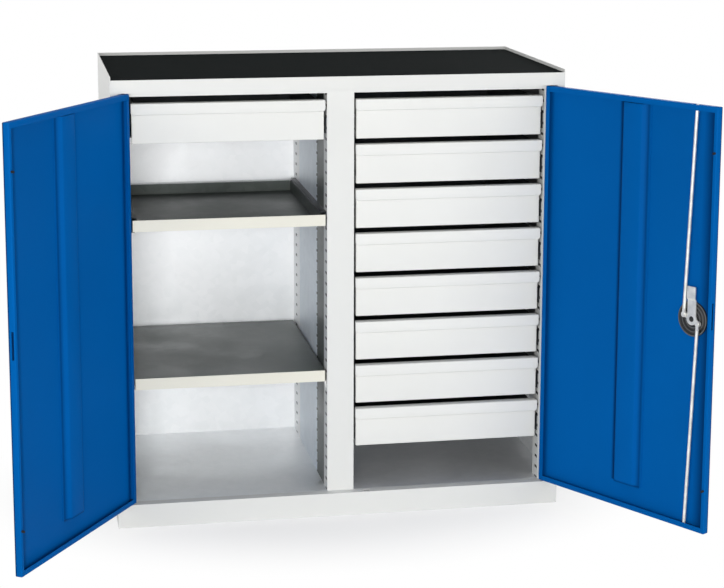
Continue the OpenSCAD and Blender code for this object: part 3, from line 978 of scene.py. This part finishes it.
def settle(obj: Piece, matrix: Matrix) -> None:
    """Moves a piece by a matrix and puts its place in its mesh.

    Args:
        obj: Piece at the origin.
        matrix: Turn and place to give it.
    """
    choose(obj)
    obj.matrix_world = matrix
    bpy.ops.object.transform_apply(location=True, rotation=True, scale=True)


def hand_over(obj: Piece, finish: Finish, body: str, node: str) -> None:
    """Dresses a finished piece and ties it to its body and its node.

    Args:
        obj: Finished piece.
        finish: Finish of the piece.
        body: Body that it moves with.
        node: Node that it stands for.
    """
    obj.data.name = obj.name
    obj.data.materials.clear()
    obj.data.materials.append(finish.material)
    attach(obj, body)
    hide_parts(node)
    LOG.info("piece %s with %d faces stands for %s", obj.name, len(obj.data.polygons), node)


@dataclass
class RibbedMat:
    """Rubber mat of the top with fine ribs from side to side.

    Attributes:
        pitch: Distance between two ribs.
        groove: Depth of the grooves.
        slope: Width of the sloped side of a groove.
    """

    pitch: float = 0.0044
    groove: float = 0.0007
    slope: float = 0.0004

    def build(self, finish: Finish) -> None:
        """Models the mat.

        Args:
            finish: Finish of the mat.
        """
        low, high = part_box("rubber_mat")
        strips = 2 * round((high[1] - low[1]) / self.pitch) + 1
        strip = (high[1] - low[1]) / strips
        choose()
        bpy.ops.mesh.primitive_grid_add(
            x_subdivisions=1, y_subdivisions=strips, size=1.0,
            location=((low[0] + high[0]) / 2, (low[1] + high[1]) / 2, high[2]))
        bpy.context.object.scale = (high[0] - low[0], high[1] - low[1], 1.0)
        mat = name_primitive("ribbed_mat")
        pick_faces(mat, lambda c, n: int((c.y - low[1]) / strip) % 2 == 1)
        bpy.ops.mesh.inset(thickness=self.slope, use_individual=True)
        bpy.ops.transform.translate(value=(0.0, 0.0, -self.groove))
        pick_edges(mat, lambda a, b: near(a.z, high[2]) and near(b.z, high[2]) and (
            any(near(a[axis], end) and near(b[axis], end)
                for axis in (0, 1) for end in (low[axis], high[axis]))))
        bpy.ops.mesh.extrude_edges_move(
            TRANSFORM_OT_translate={"value": (0.0, 0.0, low[2] - high[2])})
        bpy.ops.mesh.edge_face_add()
        smooth(mat, 20.0)
        hand_over(mat, finish, "carcass", "rubber_mat")


@dataclass
class DrawerFronts:
    """The folded drawer fronts with a grip along the top.

    Attributes:
        count: Number of drawers.
        sheet: Thickness of the sheet.
        grip_over: Overhang of the grip at each side.
        grip_depth: Depth of the grip before the front.
        grip_height: Height of the grip.
        chamfer: Slant at the lower ends of the grip.
        lip: Width of the fold under the grip.
        fold: Radius of the folds.
    """

    count: int = 9
    sheet: float = 0.001
    grip_over: float = 0.002
    grip_depth: float = 0.010
    grip_height: float = 0.025
    chamfer: float = 0.004
    lip: float = 0.005
    fold: float = 0.0016

    def plate(self, low: tuple, high: tuple) -> Piece:
        """Models the front plate with its folded sides and bottom.

        Args:
            low: Lowest corner of the front.
            high: Highest corner of the front.

        Returns:
            The plate.
        """
        front = low[1] + self.grip_depth
        made = start_box("drawer_front_1", (low[0] + self.grip_over, front, low[2]),
                         (high[0] - self.grip_over, high[1], high[2]))
        pick_faces(made, lambda c, n: n.y > FACING)
        bpy.ops.mesh.delete(type="ONLY_FACE")
        round_edges(made, lambda a, b: near(a.y, front) or near(b.y, front), self.fold)
        apply_solidify(made, self.sheet)
        return made

    def grip(self, low: tuple, high: tuple) -> Piece:
        """Models the grip, open below, with slanted lower ends.

        Args:
            low: Lowest corner of the front.
            high: Highest corner of the front.

        Returns:
            The grip.
        """
        foot = high[2] - self.grip_height
        back = low[1] + self.grip_depth + self.sheet
        made = start_box("drawer_grip", (low[0], low[1], foot), (high[0], back, high[2]))
        round_edges(made, lambda a, b: near(a.z, foot) and near(b.z, foot) and near(a.x, b.x),
                    self.chamfer, segments=1)
        pick_faces(made, lambda c, n: n.y > FACING or n.z < -FACING)
        bpy.ops.mesh.delete(type="FACE")
        face = at_depth(low[1])
        pick_edges(made, lambda a, b: near(a.z, foot) and near(b.z, foot) and face(a, b))
        bpy.ops.mesh.extrude_edges_move(
            TRANSFORM_OT_translate={"value": (0.0, self.lip, 0.0)})
        round_edges(made, lambda a, b: face(a, b) or (
            near(a.z, high[2]) and near(b.z, high[2]) and near(a.x, b.x)), self.fold)
        apply_solidify(made, self.sheet)
        return made

    def build(self, finish: Finish) -> None:
        """Models the first front and copies it to the other drawers.

        Args:
            finish: Finish of the fronts.
        """
        low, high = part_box("drawer_1_front")
        first = self.plate(low, high)
        join_all(first, self.grip(low, high))
        smooth(first)
        fronts = [first]
        for number in range(2, self.count + 1):
            step = Vector(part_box(f"drawer_{number}_front")[0]) - Vector(low)
            choose(first)
            bpy.ops.object.duplicate(linked=False)
            copy = bpy.context.object
            copy.name = f"drawer_front_{number}"
            settle(copy, Matrix.Translation(step))
            fronts.append(copy)
        for number, front in enumerate(fronts, start=1):
            hand_over(front, finish, f"drawer_{number}", f"drawer_{number}_front")


@dataclass
class Door:
    """One folded door with its stiffener, modelled closed and then swung open.

    Places along the door are measured from its pin, and depths from its outside.

    Attributes:
        side: Side of the cabinet that it hangs on.
        opening: Angle at which it stands open.
        pin_x: Distance of the pin from the middle of the cabinet.
        pin_depth: Distance of the pin behind the outside of the closed door.
        pin_hole_r: Radius of the hole for the pin.
        face_y: Y of the front face of the cabinet.
        hinge_u: Place of the hinge edge.
        free_u: Place of the meeting edge.
        depth: Thickness of the door.
        sheet: Thickness of its sheet.
        lip: Width of the folds behind three edges.
        free_lip: Width of the fold behind the meeting edge.
        fold: Radius of the folds.
        over: Length by which a cutter reaches past the sheet.
        lock_u: Place of the lock along the door.
        lock_z: Height of the lock.
        bolt_y: Lower and upper depth of the slot for the bolt.
        bolt_z: Lower and upper end of that slot, from the height of the lock.
        rod_y: Depth of the rods.
        rod_slot: Half the length and half the width of the slots for the rods.
        rounding: Share of half a slot's width that rounds its ends, just short of all of it.
        spindle_r: Radius of the hole for the spindle.
        hat_u: Place of the stiffener.
        hat_base: Width of the stiffener at the door.
        hat_top: Width of its flat front.
        hat_foot: Width of its welded feet.
        hat_height: Height of the stiffener.
        hat_fold: Radius of its folds.
    """

    side: Side
    opening: float
    pin_x: float = 0.472
    pin_depth: float = 0.006
    pin_hole_r: float = 0.00306
    face_y: float = -0.260
    hinge_u: float = -0.009
    free_u: float = 0.4705
    depth: float = 0.016
    sheet: float = 0.0012
    lip: float = 0.012
    free_lip: float = 0.008
    fold: float = 0.0022
    over: float = 0.001
    lock_u: float = 0.4135
    lock_z: float = 0.510
    bolt_y: tuple = (0.0076, 0.0129)
    bolt_z: tuple = (-0.013, 0.044)
    rod_y: float = 0.0105
    rod_slot: tuple = (0.0087, 0.0043)
    rounding: float = 0.999
    spindle_r: float = 0.007
    hat_u: float = 0.242
    hat_base: float = 0.070
    hat_top: float = 0.050
    hat_foot: float = 0.008
    hat_height: float = 0.012
    hat_fold: float = 0.0028

    def word(self) -> str:
        """Gives the side of the door as names of nodes have it."""
        return self.side.name.lower()

    def swing(self) -> Matrix:
        """Finds the matrix that carries the closed door to where it stands open.

        Returns:
            The matrix.
        """
        pin = Matrix.Translation((self.side.value * self.pin_x, self.face_y + self.pin_depth, 0.0))
        turn = Matrix.Rotation(math.radians(self.side.value * self.opening), 4, "Z")
        return pin @ turn @ Matrix.Translation((0.0, -self.pin_depth, 0.0))

    def block(self, name: str, ends: tuple, depths: tuple, heights: tuple) -> Piece:
        """Adds a box given along, across and up the closed door.

        Args:
            name: Name of the object.
            ends: Two places along the door.
            depths: Lower and upper depth.
            heights: Lower and upper height.

        Returns:
            The box.
        """
        x0, x1 = sorted(-self.side.value * end for end in ends)
        return start_box(name, (x0, depths[0], heights[0]), (x1, depths[1], heights[1]))

    def shell(self, name: str, z0: float, z1: float) -> Piece:
        """Models the folded door leaf.

        Args:
            name: Name of the piece.
            z0: Height of the lower edge.
            z1: Height of the upper edge.

        Returns:
            The leaf.
        """
        leaf = self.block(name, (self.hinge_u, self.free_u), (0.0, self.depth), (z0, z1))
        round_edges(leaf, lambda a, b: True, self.fold)
        pick_faces(leaf, lambda c, n: n.y > FACING and near(c.y, self.depth))
        bpy.ops.mesh.inset(thickness=self.lip - self.fold)
        free_x = -self.side.value * (self.free_u - self.lip)
        inside = at_depth(self.depth)
        pick_edges(leaf, lambda a, b: inside(a, b) and near(a.x, free_x, 1e-4)
                   and near(b.x, free_x, 1e-4))
        bpy.ops.transform.translate(
            value=(-self.side.value * (self.lip - self.free_lip), 0.0, 0.0))
        pick_faces(leaf, lambda c, n: n.y > FACING and near(c.y, self.depth)
                   and near(c.z, (z0 + z1) / 2, 0.1) and near(abs(c.x), self.hat_u, 0.1))
        bpy.ops.mesh.delete(type="FACE")
        apply_solidify(leaf, self.sheet)
        return leaf

    def cut_slots(self, leaf: Piece, z0: float, z1: float) -> None:
        """Cuts the slots for the bolt, the rods and the spindle, and the holes for the pins.

        Args:
            leaf: The door leaf.
            z0: Height of the lower edge.
            z1: Height of the upper edge.
        """
        ends = (self.free_u - self.sheet - self.over, self.free_u + self.over)
        heights = tuple(self.lock_z + end for end in self.bolt_z)
        cut_away(leaf, self.block("bolt_slot", ends, self.bolt_y, heights))
        for height in (z0 + self.sheet / 2, z1 - self.sheet / 2):
            heights = (height - self.sheet, height + self.sheet)
            self.round_cut(leaf, (0.0, self.pin_depth), (self.pin_hole_r,) * 2, heights)
            if self.side is Side.RIGHT:
                self.round_cut(leaf, (self.lock_u, self.rod_y), self.rod_slot, heights)
        if self.side is Side.RIGHT:
            cut_away(leaf, start_disc("spindle_hole", (-self.lock_u, self.lock_z),
                                      self.spindle_r, (-self.over, self.sheet + self.over),
                                      corners=32))

    def round_cut(self, leaf: Piece, middle: tuple, half: tuple, heights: tuple) -> None:
        """Cuts an upright slot with round ends.

        Args:
            leaf: The door leaf.
            middle: Middle of the slot along and across the door.
            half: Half its length and half its width.
            heights: Lower and upper height of the cut.
        """
        ends, depths = ((place - part, place + part) for place, part in zip(middle, half))
        tool = self.block("round_tool", ends, depths, heights)
        round_edges(tool, lambda a, b: near(a.x, b.x) and near(a.y, b.y),
                    half[1] * self.rounding, 8)
        cut_away(leaf, tool)

    def stiffener(self, name: str, z0: float, z1: float) -> Piece:
        """Models the hat profile: a plate whose middle is drawn out and narrowed.

        Args:
            name: Name of the piece.
            z0: Height of its lower end.
            z1: Height of its upper end.

        Returns:
            The stiffener.
        """
        reach = self.hat_base / 2 + self.hat_foot
        hat = self.block(name, (self.hat_u - reach, self.hat_u + reach),
                         (self.sheet, 2 * self.sheet), (z0, z1))
        middle = -self.side.value * self.hat_u
        for way in (-1, 1):
            pick_faces(hat)
            bpy.ops.mesh.bisect(plane_co=(middle + way * self.hat_base / 2, 0.0, 0.0),
                                plane_no=(1.0, 0.0, 0.0))
        pick_faces(hat, lambda c, n: n.y > FACING and near(c.x, middle, 1e-3))
        draw_out((0.0, self.hat_height - self.sheet, 0.0))
        bpy.ops.transform.resize(value=(self.hat_top / self.hat_base, 1.0, 1.0),
                                 center_override=(middle, self.sheet, (z0 + z1) / 2))
        crest = at_depth(self.sheet + self.hat_height)
        foot = at_depth(2 * self.sheet)
        round_edges(hat, lambda a, b: abs(a.z - b.z) > 0.1 and (crest(a, b) or (
            foot(a, b) and near(abs(a.x - middle), self.hat_base / 2, 1e-4))), self.hat_fold)
        return hat

    def build(self, finish: Finish) -> None:
        """Models the leaf and the stiffener and swings them open.

        Args:
            finish: Finish of the door.
        """
        word = self.word()
        low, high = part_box(f"door_{word}")
        leaf = self.shell(f"door_leaf_{word}", low[2], high[2])
        self.cut_slots(leaf, low[2], high[2])
        low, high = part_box(f"door_{word}_stiffener")
        hat = self.stiffener(f"door_stiffener_{word}", low[2], high[2])
        for piece, node in ((leaf, f"door_{word}"), (hat, f"door_{word}_stiffener")):
            smooth(piece)
            settle(piece, self.swing())
            hand_over(piece, finish, f"{word}_door", node)


def door_finish(name: str, spec: FinishSpec, door: Door) -> Finish:
    """Makes the paint of a door, with painted shade in its inner corners and along the stiffener.

    Args:
        name: Name of the material.
        spec: Finish of the paint.
        door: Door that is painted.

    Returns:
        The finish.
    """
    made = Finish(name)
    color, rough = made.paint(spec)
    swing = door.swing()
    root = swing @ Vector((0.0, 0.0, 0.0))
    offs = (made.math("SUBTRACT", made.axis("X"), root.x),
            made.math("SUBTRACT", made.axis("Y"), root.y))
    ways = [swing @ Vector(way) - root for way in ((-door.side.value, 0.0, 0.0), (0.0, 1.0, 0.0))]
    along, depth = (made.chain("ADD", *(made.math("MULTIPLY", off, part)
                                        for off, part in zip(offs, way))) for way in ways)
    height = made.axis("Z")
    low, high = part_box(f"door_{door.word()}")
    # Painted shade in the inner corners, where the folded edges cast their shadow on the sheet
    corners = made.chain(
        "MAXIMUM", made.math("MINIMUM", made.band(along, door.free_u, FREE_BAND), FREE_MOST),
        made.band(along, door.hinge_u, HINGE_BAND), made.band(height, low[2], END_BAND),
        made.band(height, high[2], END_BAND))
    corners = made.math("MULTIPLY", corners, made.math(
        "LESS_THAN", depth, door.fold * CORNER_FOLDS))
    low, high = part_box(f"door_{door.word()}_stiffener")
    half = door.hat_base / 2
    # Painted shade beside the stiffener and under its lower end
    hat_shade = made.math("MAXIMUM", made.band(along, door.hat_u - half - HAT_SHADE_GAP, NEAR_HAT_SHADE),
                      made.band(along, door.hat_u + half + HAT_SHADE_GAP, FAR_HAT_SHADE))
    beside = made.math("MULTIPLY", made.math("GREATER_THAN", height, low[2] - 2 * HAT_SHADE_GAP),
                       made.math("LESS_THAN", height, high[2]))
    off_hat = made.math("ABSOLUTE", made.math("SUBTRACT", along, door.hat_u))
    foot = made.math("MULTIPLY", made.math("LESS_THAN", off_hat, half + 2 * HAT_SHADE_GAP),
                     made.band(height, low[2] - HAT_SHADE_GAP, FOOT_HAT_SHADE))
    shade = made.chain("MAXIMUM", corners, made.math("MULTIPLY", hat_shade, beside), foot)
    shade = made.math("MULTIPLY", shade, made.math("GREATER_THAN", depth, door.sheet / 2))
    return made.surface((made.covered(color, shade, DOOR_SHADE_BLUE), rough), made.grain(spec),
                        gloss=spec.gloss)


@dataclass
class Lock:
    """Case and grip of the lock in the right door.

    Attributes:
        door: The right door.
        radius: Radius of the case.
        height: Height of the case over the inside of the door sheet.
        drop: Depth of the recess inside its rim.
        rings: Width and rise of each step, from the rim to the boss.
        case_fold: Radius of the outer edge of the case.
        rosette: Thickness of the ring outside.
        rosette_r: Radius of the ring outside.
        rosette_fold: Radius of its edge.
        neck_r: Radius of the neck through the door.
        neck_in: Width of the band inside the ends of the neck.
        rivet_r: Radius of a rivet head.
        rivet_height: Height of a rivet head.
        rivet_fold: Radius of its edge.
        rivet_in: Distance of the rivets from the outside of the case.
        rivet_turns: Angles of the rivets from the top of the case.
        knob_r: Radius of the round foot of the grip.
        knob_height: Height of that foot.
        knob_fold: Radius of its edge.
        grip_length: Length of the grip.
        grip_width: Width of the grip.
        grip_height: Height of the grip over its foot.
        grip_rounding: Share of half its width that rounds its ends.
        grip_fold: Radius of its front edge.
        grip_in: Width of the border of its front.
        grip_dip: Depth of its front inside the border.
        gap: Gap between the ring and the foot.
        sink: Length by which joined pieces reach into each other.
        spindle_r: Radius of the spindle.
        spindle_fold: Radius of its edge.
        cam_gap: Gap between the case and the cam.
        bolt: Thickness of the bolt plate.
    """

    door: Door
    radius: float = 0.038
    height: float = 0.0042
    drop: float = 0.0017
    rings: tuple = ((0.003, -0.0017), (0.007, 0.0009), (0.003, -0.0009), (0.012, 0.0017))
    case_fold: float = 0.0007
    rosette: float = 0.004
    rosette_r: float = 0.026
    rosette_fold: float = 0.0015
    neck_r: float = 0.00695
    neck_in: float = 0.0005
    rivet_r: float = 0.0026
    rivet_height: float = 0.0016
    rivet_fold: float = 0.0009
    rivet_in: float = 0.0055
    rivet_turns: tuple = (135.0, 215.0, 235.0)
    knob_r: float = 0.020
    knob_height: float = 0.008
    knob_fold: float = 0.002
    grip_length: float = 0.064
    grip_width: float = 0.014
    grip_height: float = 0.018
    grip_rounding: float = 0.98
    grip_fold: float = 0.0025
    grip_in: float = 0.0012
    grip_dip: float = 0.0006
    gap: float = 0.0003
    sink: float = 0.001
    spindle_r: float = 0.006
    spindle_fold: float = 0.0006
    cam_gap: float = 0.0004
    bolt: float = 0.0025

    def centre(self) -> tuple:
        """Gives X and Z of the lock on the closed door."""
        return -self.door.side.value * self.door.lock_u, self.door.lock_z

    def rivet(self, angle: float, level: float) -> Piece:
        """Models one rivet head on the rim.

        Args:
            angle: Angle from the top of the case.
            level: Depth on which it sits.

        Returns:
            The rivet head.
        """
        turn = math.radians(angle)
        reach = self.radius - self.rivet_in
        x, z = self.centre()
        place = (x + reach * math.sin(turn), z + reach * math.cos(turn))
        top = level + self.rivet_height
        head = start_disc("case_rivet", place, self.rivet_r, (level - self.sink, top),
                          corners=24)
        round_edges(head, at_depth(top), self.rivet_fold)
        return head

    def case(self, level: float) -> Piece:
        """Models the case, sunk in steps, with one raised ring and a boss.

        Args:
            level: Depth of its front.

        Returns:
            The case.
        """
        made = start_disc("lock_case", self.centre(), self.radius, (self.door.sheet, level))
        pick_faces(made, lambda c, n: n.y > FACING and near(c.y, level))
        for width, rise in self.rings:
            bpy.ops.mesh.inset(thickness=width)
            draw_out((0.0, rise, 0.0))
        x, z = self.centre()
        front = at_depth(level)
        round_edges(made, lambda a, b: front(a, b)
                    and math.hypot(a.x - x, a.z - z) > self.radius - 1e-4, self.case_fold, 2)
        return made

    def build_case(self, finish: Finish) -> None:
        """Models the case inside the door and the ring outside.

        Args:
            finish: Finish of the plastic.
        """
        inner = self.door.sheet
        level = inner + self.height
        case = self.case(level)
        ring = start_disc("lock_ring", self.centre(), self.rosette_r, (-self.rosette, 0.0))
        round_edges(ring, at_depth(-self.rosette), self.rosette_fold)
        neck = start_disc("lock_neck", self.centre(), self.neck_r,
                          (-self.sink, inner + self.sink), corners=48)
        pick_faces(neck, lambda c, n: abs(n.y) > FACING)
        bpy.ops.mesh.inset(thickness=self.neck_in)
        rivets = [self.rivet(turn, level - self.drop) for turn in self.rivet_turns]
        join_all(case, ring, neck, *rivets)
        smooth(case)
        settle(case, self.door.swing())
        hand_over(case, finish, "right_door", "lock_housing")

    def wing(self, face: float, top: float) -> Piece:
        """Models the long part of the grip.

        Args:
            face: Depth of the foot that it stands on.
            top: Depth of its front.

        Returns:
            The long part.
        """
        x, z = self.centre()
        half_w, half_l = self.grip_width / 2, self.grip_length / 2
        made = start_box("grip_wing", (x - half_w, top, z - half_l),
                         (x + half_w, face + self.sink, z + half_l))
        round_edges(made, lambda a, b: near(a.x, b.x) and near(a.z, b.z),
                    half_w * self.grip_rounding, 8)
        round_edges(made, at_depth(top), self.grip_fold, 4)
        pick_faces(made, lambda c, n: n.y < -FACING and near(c.y, top))
        bpy.ops.mesh.inset(thickness=self.grip_in)
        draw_out((0.0, self.grip_dip, 0.0))
        return made

    def build_grip(self, finish: Finish) -> None:
        """Models the grip outside the door with its spindle.

        Args:
            finish: Finish of the plastic.
        """
        foot = -self.rosette - self.gap
        face = foot - self.knob_height
        base = start_disc("lock_grip", self.centre(), self.knob_r, (face, foot))
        round_edges(base, at_depth(face), self.knob_fold, 4)
        wing = self.wing(face, face - self.grip_height)
        tip = self.door.sheet + self.height + self.cam_gap + self.bolt
        spindle = start_disc("grip_spindle", self.centre(), self.spindle_r,
                             (face + self.sink, tip), corners=48)
        round_edges(spindle, at_depth(tip), self.spindle_fold, 2)
        join_all(base, wing, spindle)
        smooth(base)
        settle(base, self.door.swing())
        hand_over(base, finish, "lock", "lock_handle")


@dataclass
class CabinetLooks:
    """Gives each carried over piece of the cabinet its finish.

    Attributes:
        nodes: Nodes of the frame by name.
        sheet: Thickness of the sheet.
        rim: Height of the painted rim over the mat.
        stile: Width of the painted fold at the front of a side, from its front.
        column: Distance of the slots from the front of a post.
        strip: Depth of the dark front strip of the partition, from the front post.
        strip_column: Distance of its slots from the front post.
        light_strip: Distance of its light rear strip from the front post.
        edge: Depth of the painted front edge of the tray and the shelf.
        ring_pitch: Distance from ring to ring on the lock case.
        tips: Z of the lower and the upper end of the bright part of the rods.
    """

    nodes: dict
    sheet: float = 0.0012
    rim: float = 0.0045
    stile: float = 0.0228
    column: float = 0.014
    strip: float = 0.140
    strip_column: float = 0.138
    light_strip: float = 0.400
    edge: float = 0.0014
    ring_pitch: float = 0.0085
    tips: tuple = (0.064, 0.9575)

    def __post_init__(self) -> None:
        """Makes the finishes once, because pieces share them."""
        self.finishes = self.make_finishes()

    def make_finishes(self) -> dict:
        """Makes all finishes but those of the doors.

        Returns:
            The finishes by name.
        """
        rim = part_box("top_cover")[1][2] - self.rim
        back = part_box("back_panel")[1][1] - self.sheet / 2
        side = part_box("side_panel_right")[1][0] - self.sheet / 2
        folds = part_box("side_panel_left")
        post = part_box("front_post")[0][1]
        columns = (post + self.strip_column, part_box("upright_rear_left")[0][1] + self.column)
        lock = tuple(sum(ends) / 2 for ends in zip(*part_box("lock_housing")))
        return {
            "blue": plain_finish(BLUE),
            "grey": plain_finish(GREY),
            "drawer": plain_finish(DRAWER_GREY),
            "rubber": plain_finish(RUBBER),
            "plastic": plain_finish(PLASTIC),
            "pin": plain_finish(PIN),
            "zinc": plain_finish(ZINC),
            "rod": rod_finish("zinc_rod", ZINC, self.tips),
            # Painted shade: near black slides and rails
            "slide": plain_finish(SHADED_SLIDE),
            "galvanised": galvanised_finish("galvanised_sheet", BRIGHT_ZINC),
            # Painted shade: near black drawer boxes seen through the gaps between the fronts
            "box": galvanised_finish("drawer_box_painted_shade", BOX_SHADE_ZINC),
            "case": ringed_finish("ringed_black_plastic", PLASTIC, lock, self.ring_pitch),
            "post": post_finish("slotted_post_paint", GREY, post + self.column),
            "side": two_sided_finish("side_sheet", GREY, "X", side, rim,
                                     folds[0][1] + self.stile, folds[1][1] - self.sheet / 2),
            "back": two_sided_finish("back_sheet", GREY, "Y", back, rim),
            "partition": partition_finish("partition_sheet", post + self.strip,
                                          post + self.light_strip, columns),
            "tray": lined_finish("tray_sheet", CREAM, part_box("tray")[0][1] + self.edge),
            "shelf": lined_finish("shelf_sheet", CREAM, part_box("fixed_shelf")[0][1] + self.edge),
            "mat": rubber_mat_finish("mat_rubber", MatSpec()),
        }

    def dress(self) -> None:
        """Assigns the finishes to all nodes."""
        for name, obj in self.nodes.items():
            key = next(finish for pattern, finish in NODE_FINISHES if fnmatch(name, pattern))
            obj.data.materials.clear()
            obj.data.materials.append(self.finishes[key].material)
            LOG.info("node %s takes finish %s", name, key)


@dataclass
class Studio:
    """Camera, floor, white surround and soft lights.

    Attributes:
        camera: Numbers of the camera.
        backdrop: Numbers of the floor and the surround.
        lights: Numbers of the lights.
    """

    camera: CameraSpec
    backdrop: BackdropSpec
    lights: tuple

    def build_camera(self) -> None:
        """Places the camera of the photograph."""
        spec = self.camera
        bpy.ops.object.camera_add(location=spec.place)
        cam = bpy.context.object
        cam.name = "photo_camera"
        yaw, pitch, roll = (math.radians(turn) for turn in (spec.yaw, spec.pitch, spec.roll))
        ahead = Vector((math.sin(yaw) * math.cos(pitch), math.cos(yaw) * math.cos(pitch),
                        -math.sin(pitch)))
        right = Vector((math.cos(yaw), -math.sin(yaw), 0.0))
        up = right.cross(ahead)
        turned_right = right * math.cos(roll) + up * math.sin(roll)
        turned_up = up * math.cos(roll) - right * math.sin(roll)
        basis = Matrix((turned_right, turned_up, -ahead)).transposed()
        cam.rotation_euler = basis.to_euler()
        cam.data.sensor_width = spec.sensor_mm
        cam.data.lens = spec.focal_px * spec.sensor_mm / spec.width_px
        cam.data.shift_x = -spec.centre_x_px / spec.width_px
        cam.data.shift_y = spec.centre_y_px / spec.width_px
        cam.data.clip_end = spec.far_end
        bpy.context.scene.camera = cam
        LOG.info("camera with a lens of %.1f mm", cam.data.lens)

    def build_floor(self) -> None:
        """Makes the pale floor, which fades to white away from the cabinet."""
        spec = self.backdrop
        bpy.ops.mesh.primitive_plane_add(size=spec.size, location=(0.0, 0.0, -spec.drop))
        floor = name_primitive("studio_floor")
        made = Finish("pale_floor")
        made.join(made.blend(made.noise(spec.patch, GRAIN_DETAIL), *spec.tones),
                  made.bsdf.inputs["Base Color"])
        made.join(spec.roughness, made.bsdf.inputs["Roughness"])
        made.join(spec.gloss, made.bsdf.inputs["Specular IOR Level"])
        squares = [made.math("POWER", made.math("DIVIDE", made.axis(axis), reach), 2.0)
                   for axis, reach in zip("XY", spec.reach)]
        fade = made.node("ShaderNodeMapRange", interpolation_type="SMOOTHSTEP",
                         in_From_Min=spec.fade[0], in_From_Max=spec.fade[1],
                         in_To_Min=spec.least, in_To_Max=1.0)
        made.join(made.math("SQRT", made.math("ADD", *squares)), fade.inputs["Value"])
        white = made.node("ShaderNodeEmission", in_Strength=1.0)
        mix = made.node("ShaderNodeMixShader")
        parts = (made.math("MULTIPLY", fade.outputs["Result"], made.backdrop_rays()),
                 made.bsdf.outputs["BSDF"], white.outputs["Emission"])
        for part, slot in zip(parts, mix.inputs):
            made.join(part, slot)
        made.join(mix.outputs["Shader"], made.out.inputs["Surface"])
        floor.data.materials.append(made.material)

    def build_world(self) -> None:
        """Makes the surround, white to the camera and softer as a light."""
        world = bpy.data.worlds.new("studio_world")
        bpy.context.scene.world = world
        world.use_nodes = True
        made = Graph(world.node_tree)
        light = made.node("ShaderNodeBackground", in_Color=(*self.backdrop.air, 1.0),
                          in_Strength=self.backdrop.air_strength)
        seen = made.node("ShaderNodeBackground", in_Color=(1.0, 1.0, 1.0, 1.0))
        mix = made.node("ShaderNodeMixShader")
        parts = (made.backdrop_rays(), light.outputs["Background"], seen.outputs["Background"])
        for part, slot in zip(parts, mix.inputs):
            made.join(part, slot)
        out = made.node("ShaderNodeOutputWorld")
        made.join(mix.outputs["Shader"], out.inputs["Surface"])

    def build_lights(self) -> None:
        """Places the soft lights."""
        for spec in self.lights:
            bpy.ops.object.light_add(type="AREA", location=spec.place)
            lamp = bpy.context.object
            lamp.name = spec.name
            lamp.data.shape = "SQUARE"
            lamp.data.size = spec.size
            lamp.data.energy = spec.power
            aim = Vector(spec.target) - Vector(spec.place)
            lamp.rotation_euler = aim.to_track_quat("-Z", "Y").to_euler()
            LOG.info("light %s", spec.name)

    def build(self) -> None:
        """Builds the whole studio."""
        self.build_camera()
        self.build_floor()
        self.build_world()
        self.build_lights()
        bpy.context.scene.view_settings.view_transform = "Standard"


def main() -> None:
    """Builds the looks and the studio."""
    logging.basicConfig(level=logging.INFO)
    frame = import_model()
    looks = CabinetLooks(frame["nodes"])
    looks.dress()
    left, right = Door(Side.LEFT, 122.0), Door(Side.RIGHT, 120.5)
    RibbedMat().build(looks.finishes["mat"])
    DrawerFronts().build(looks.finishes["drawer"])
    left.build(door_finish("blue_paint_left_door", BLUE, left))
    right.build(door_finish("blue_paint_right_door", BLUE, right))
    lock = Lock(right)
    lock.build_case(looks.finishes["case"])
    lock.build_grip(looks.finishes["plastic"])
    Studio(CameraSpec(), BackdropSpec(), LIGHTS).build()


if __name__ == "__main__":
    main()
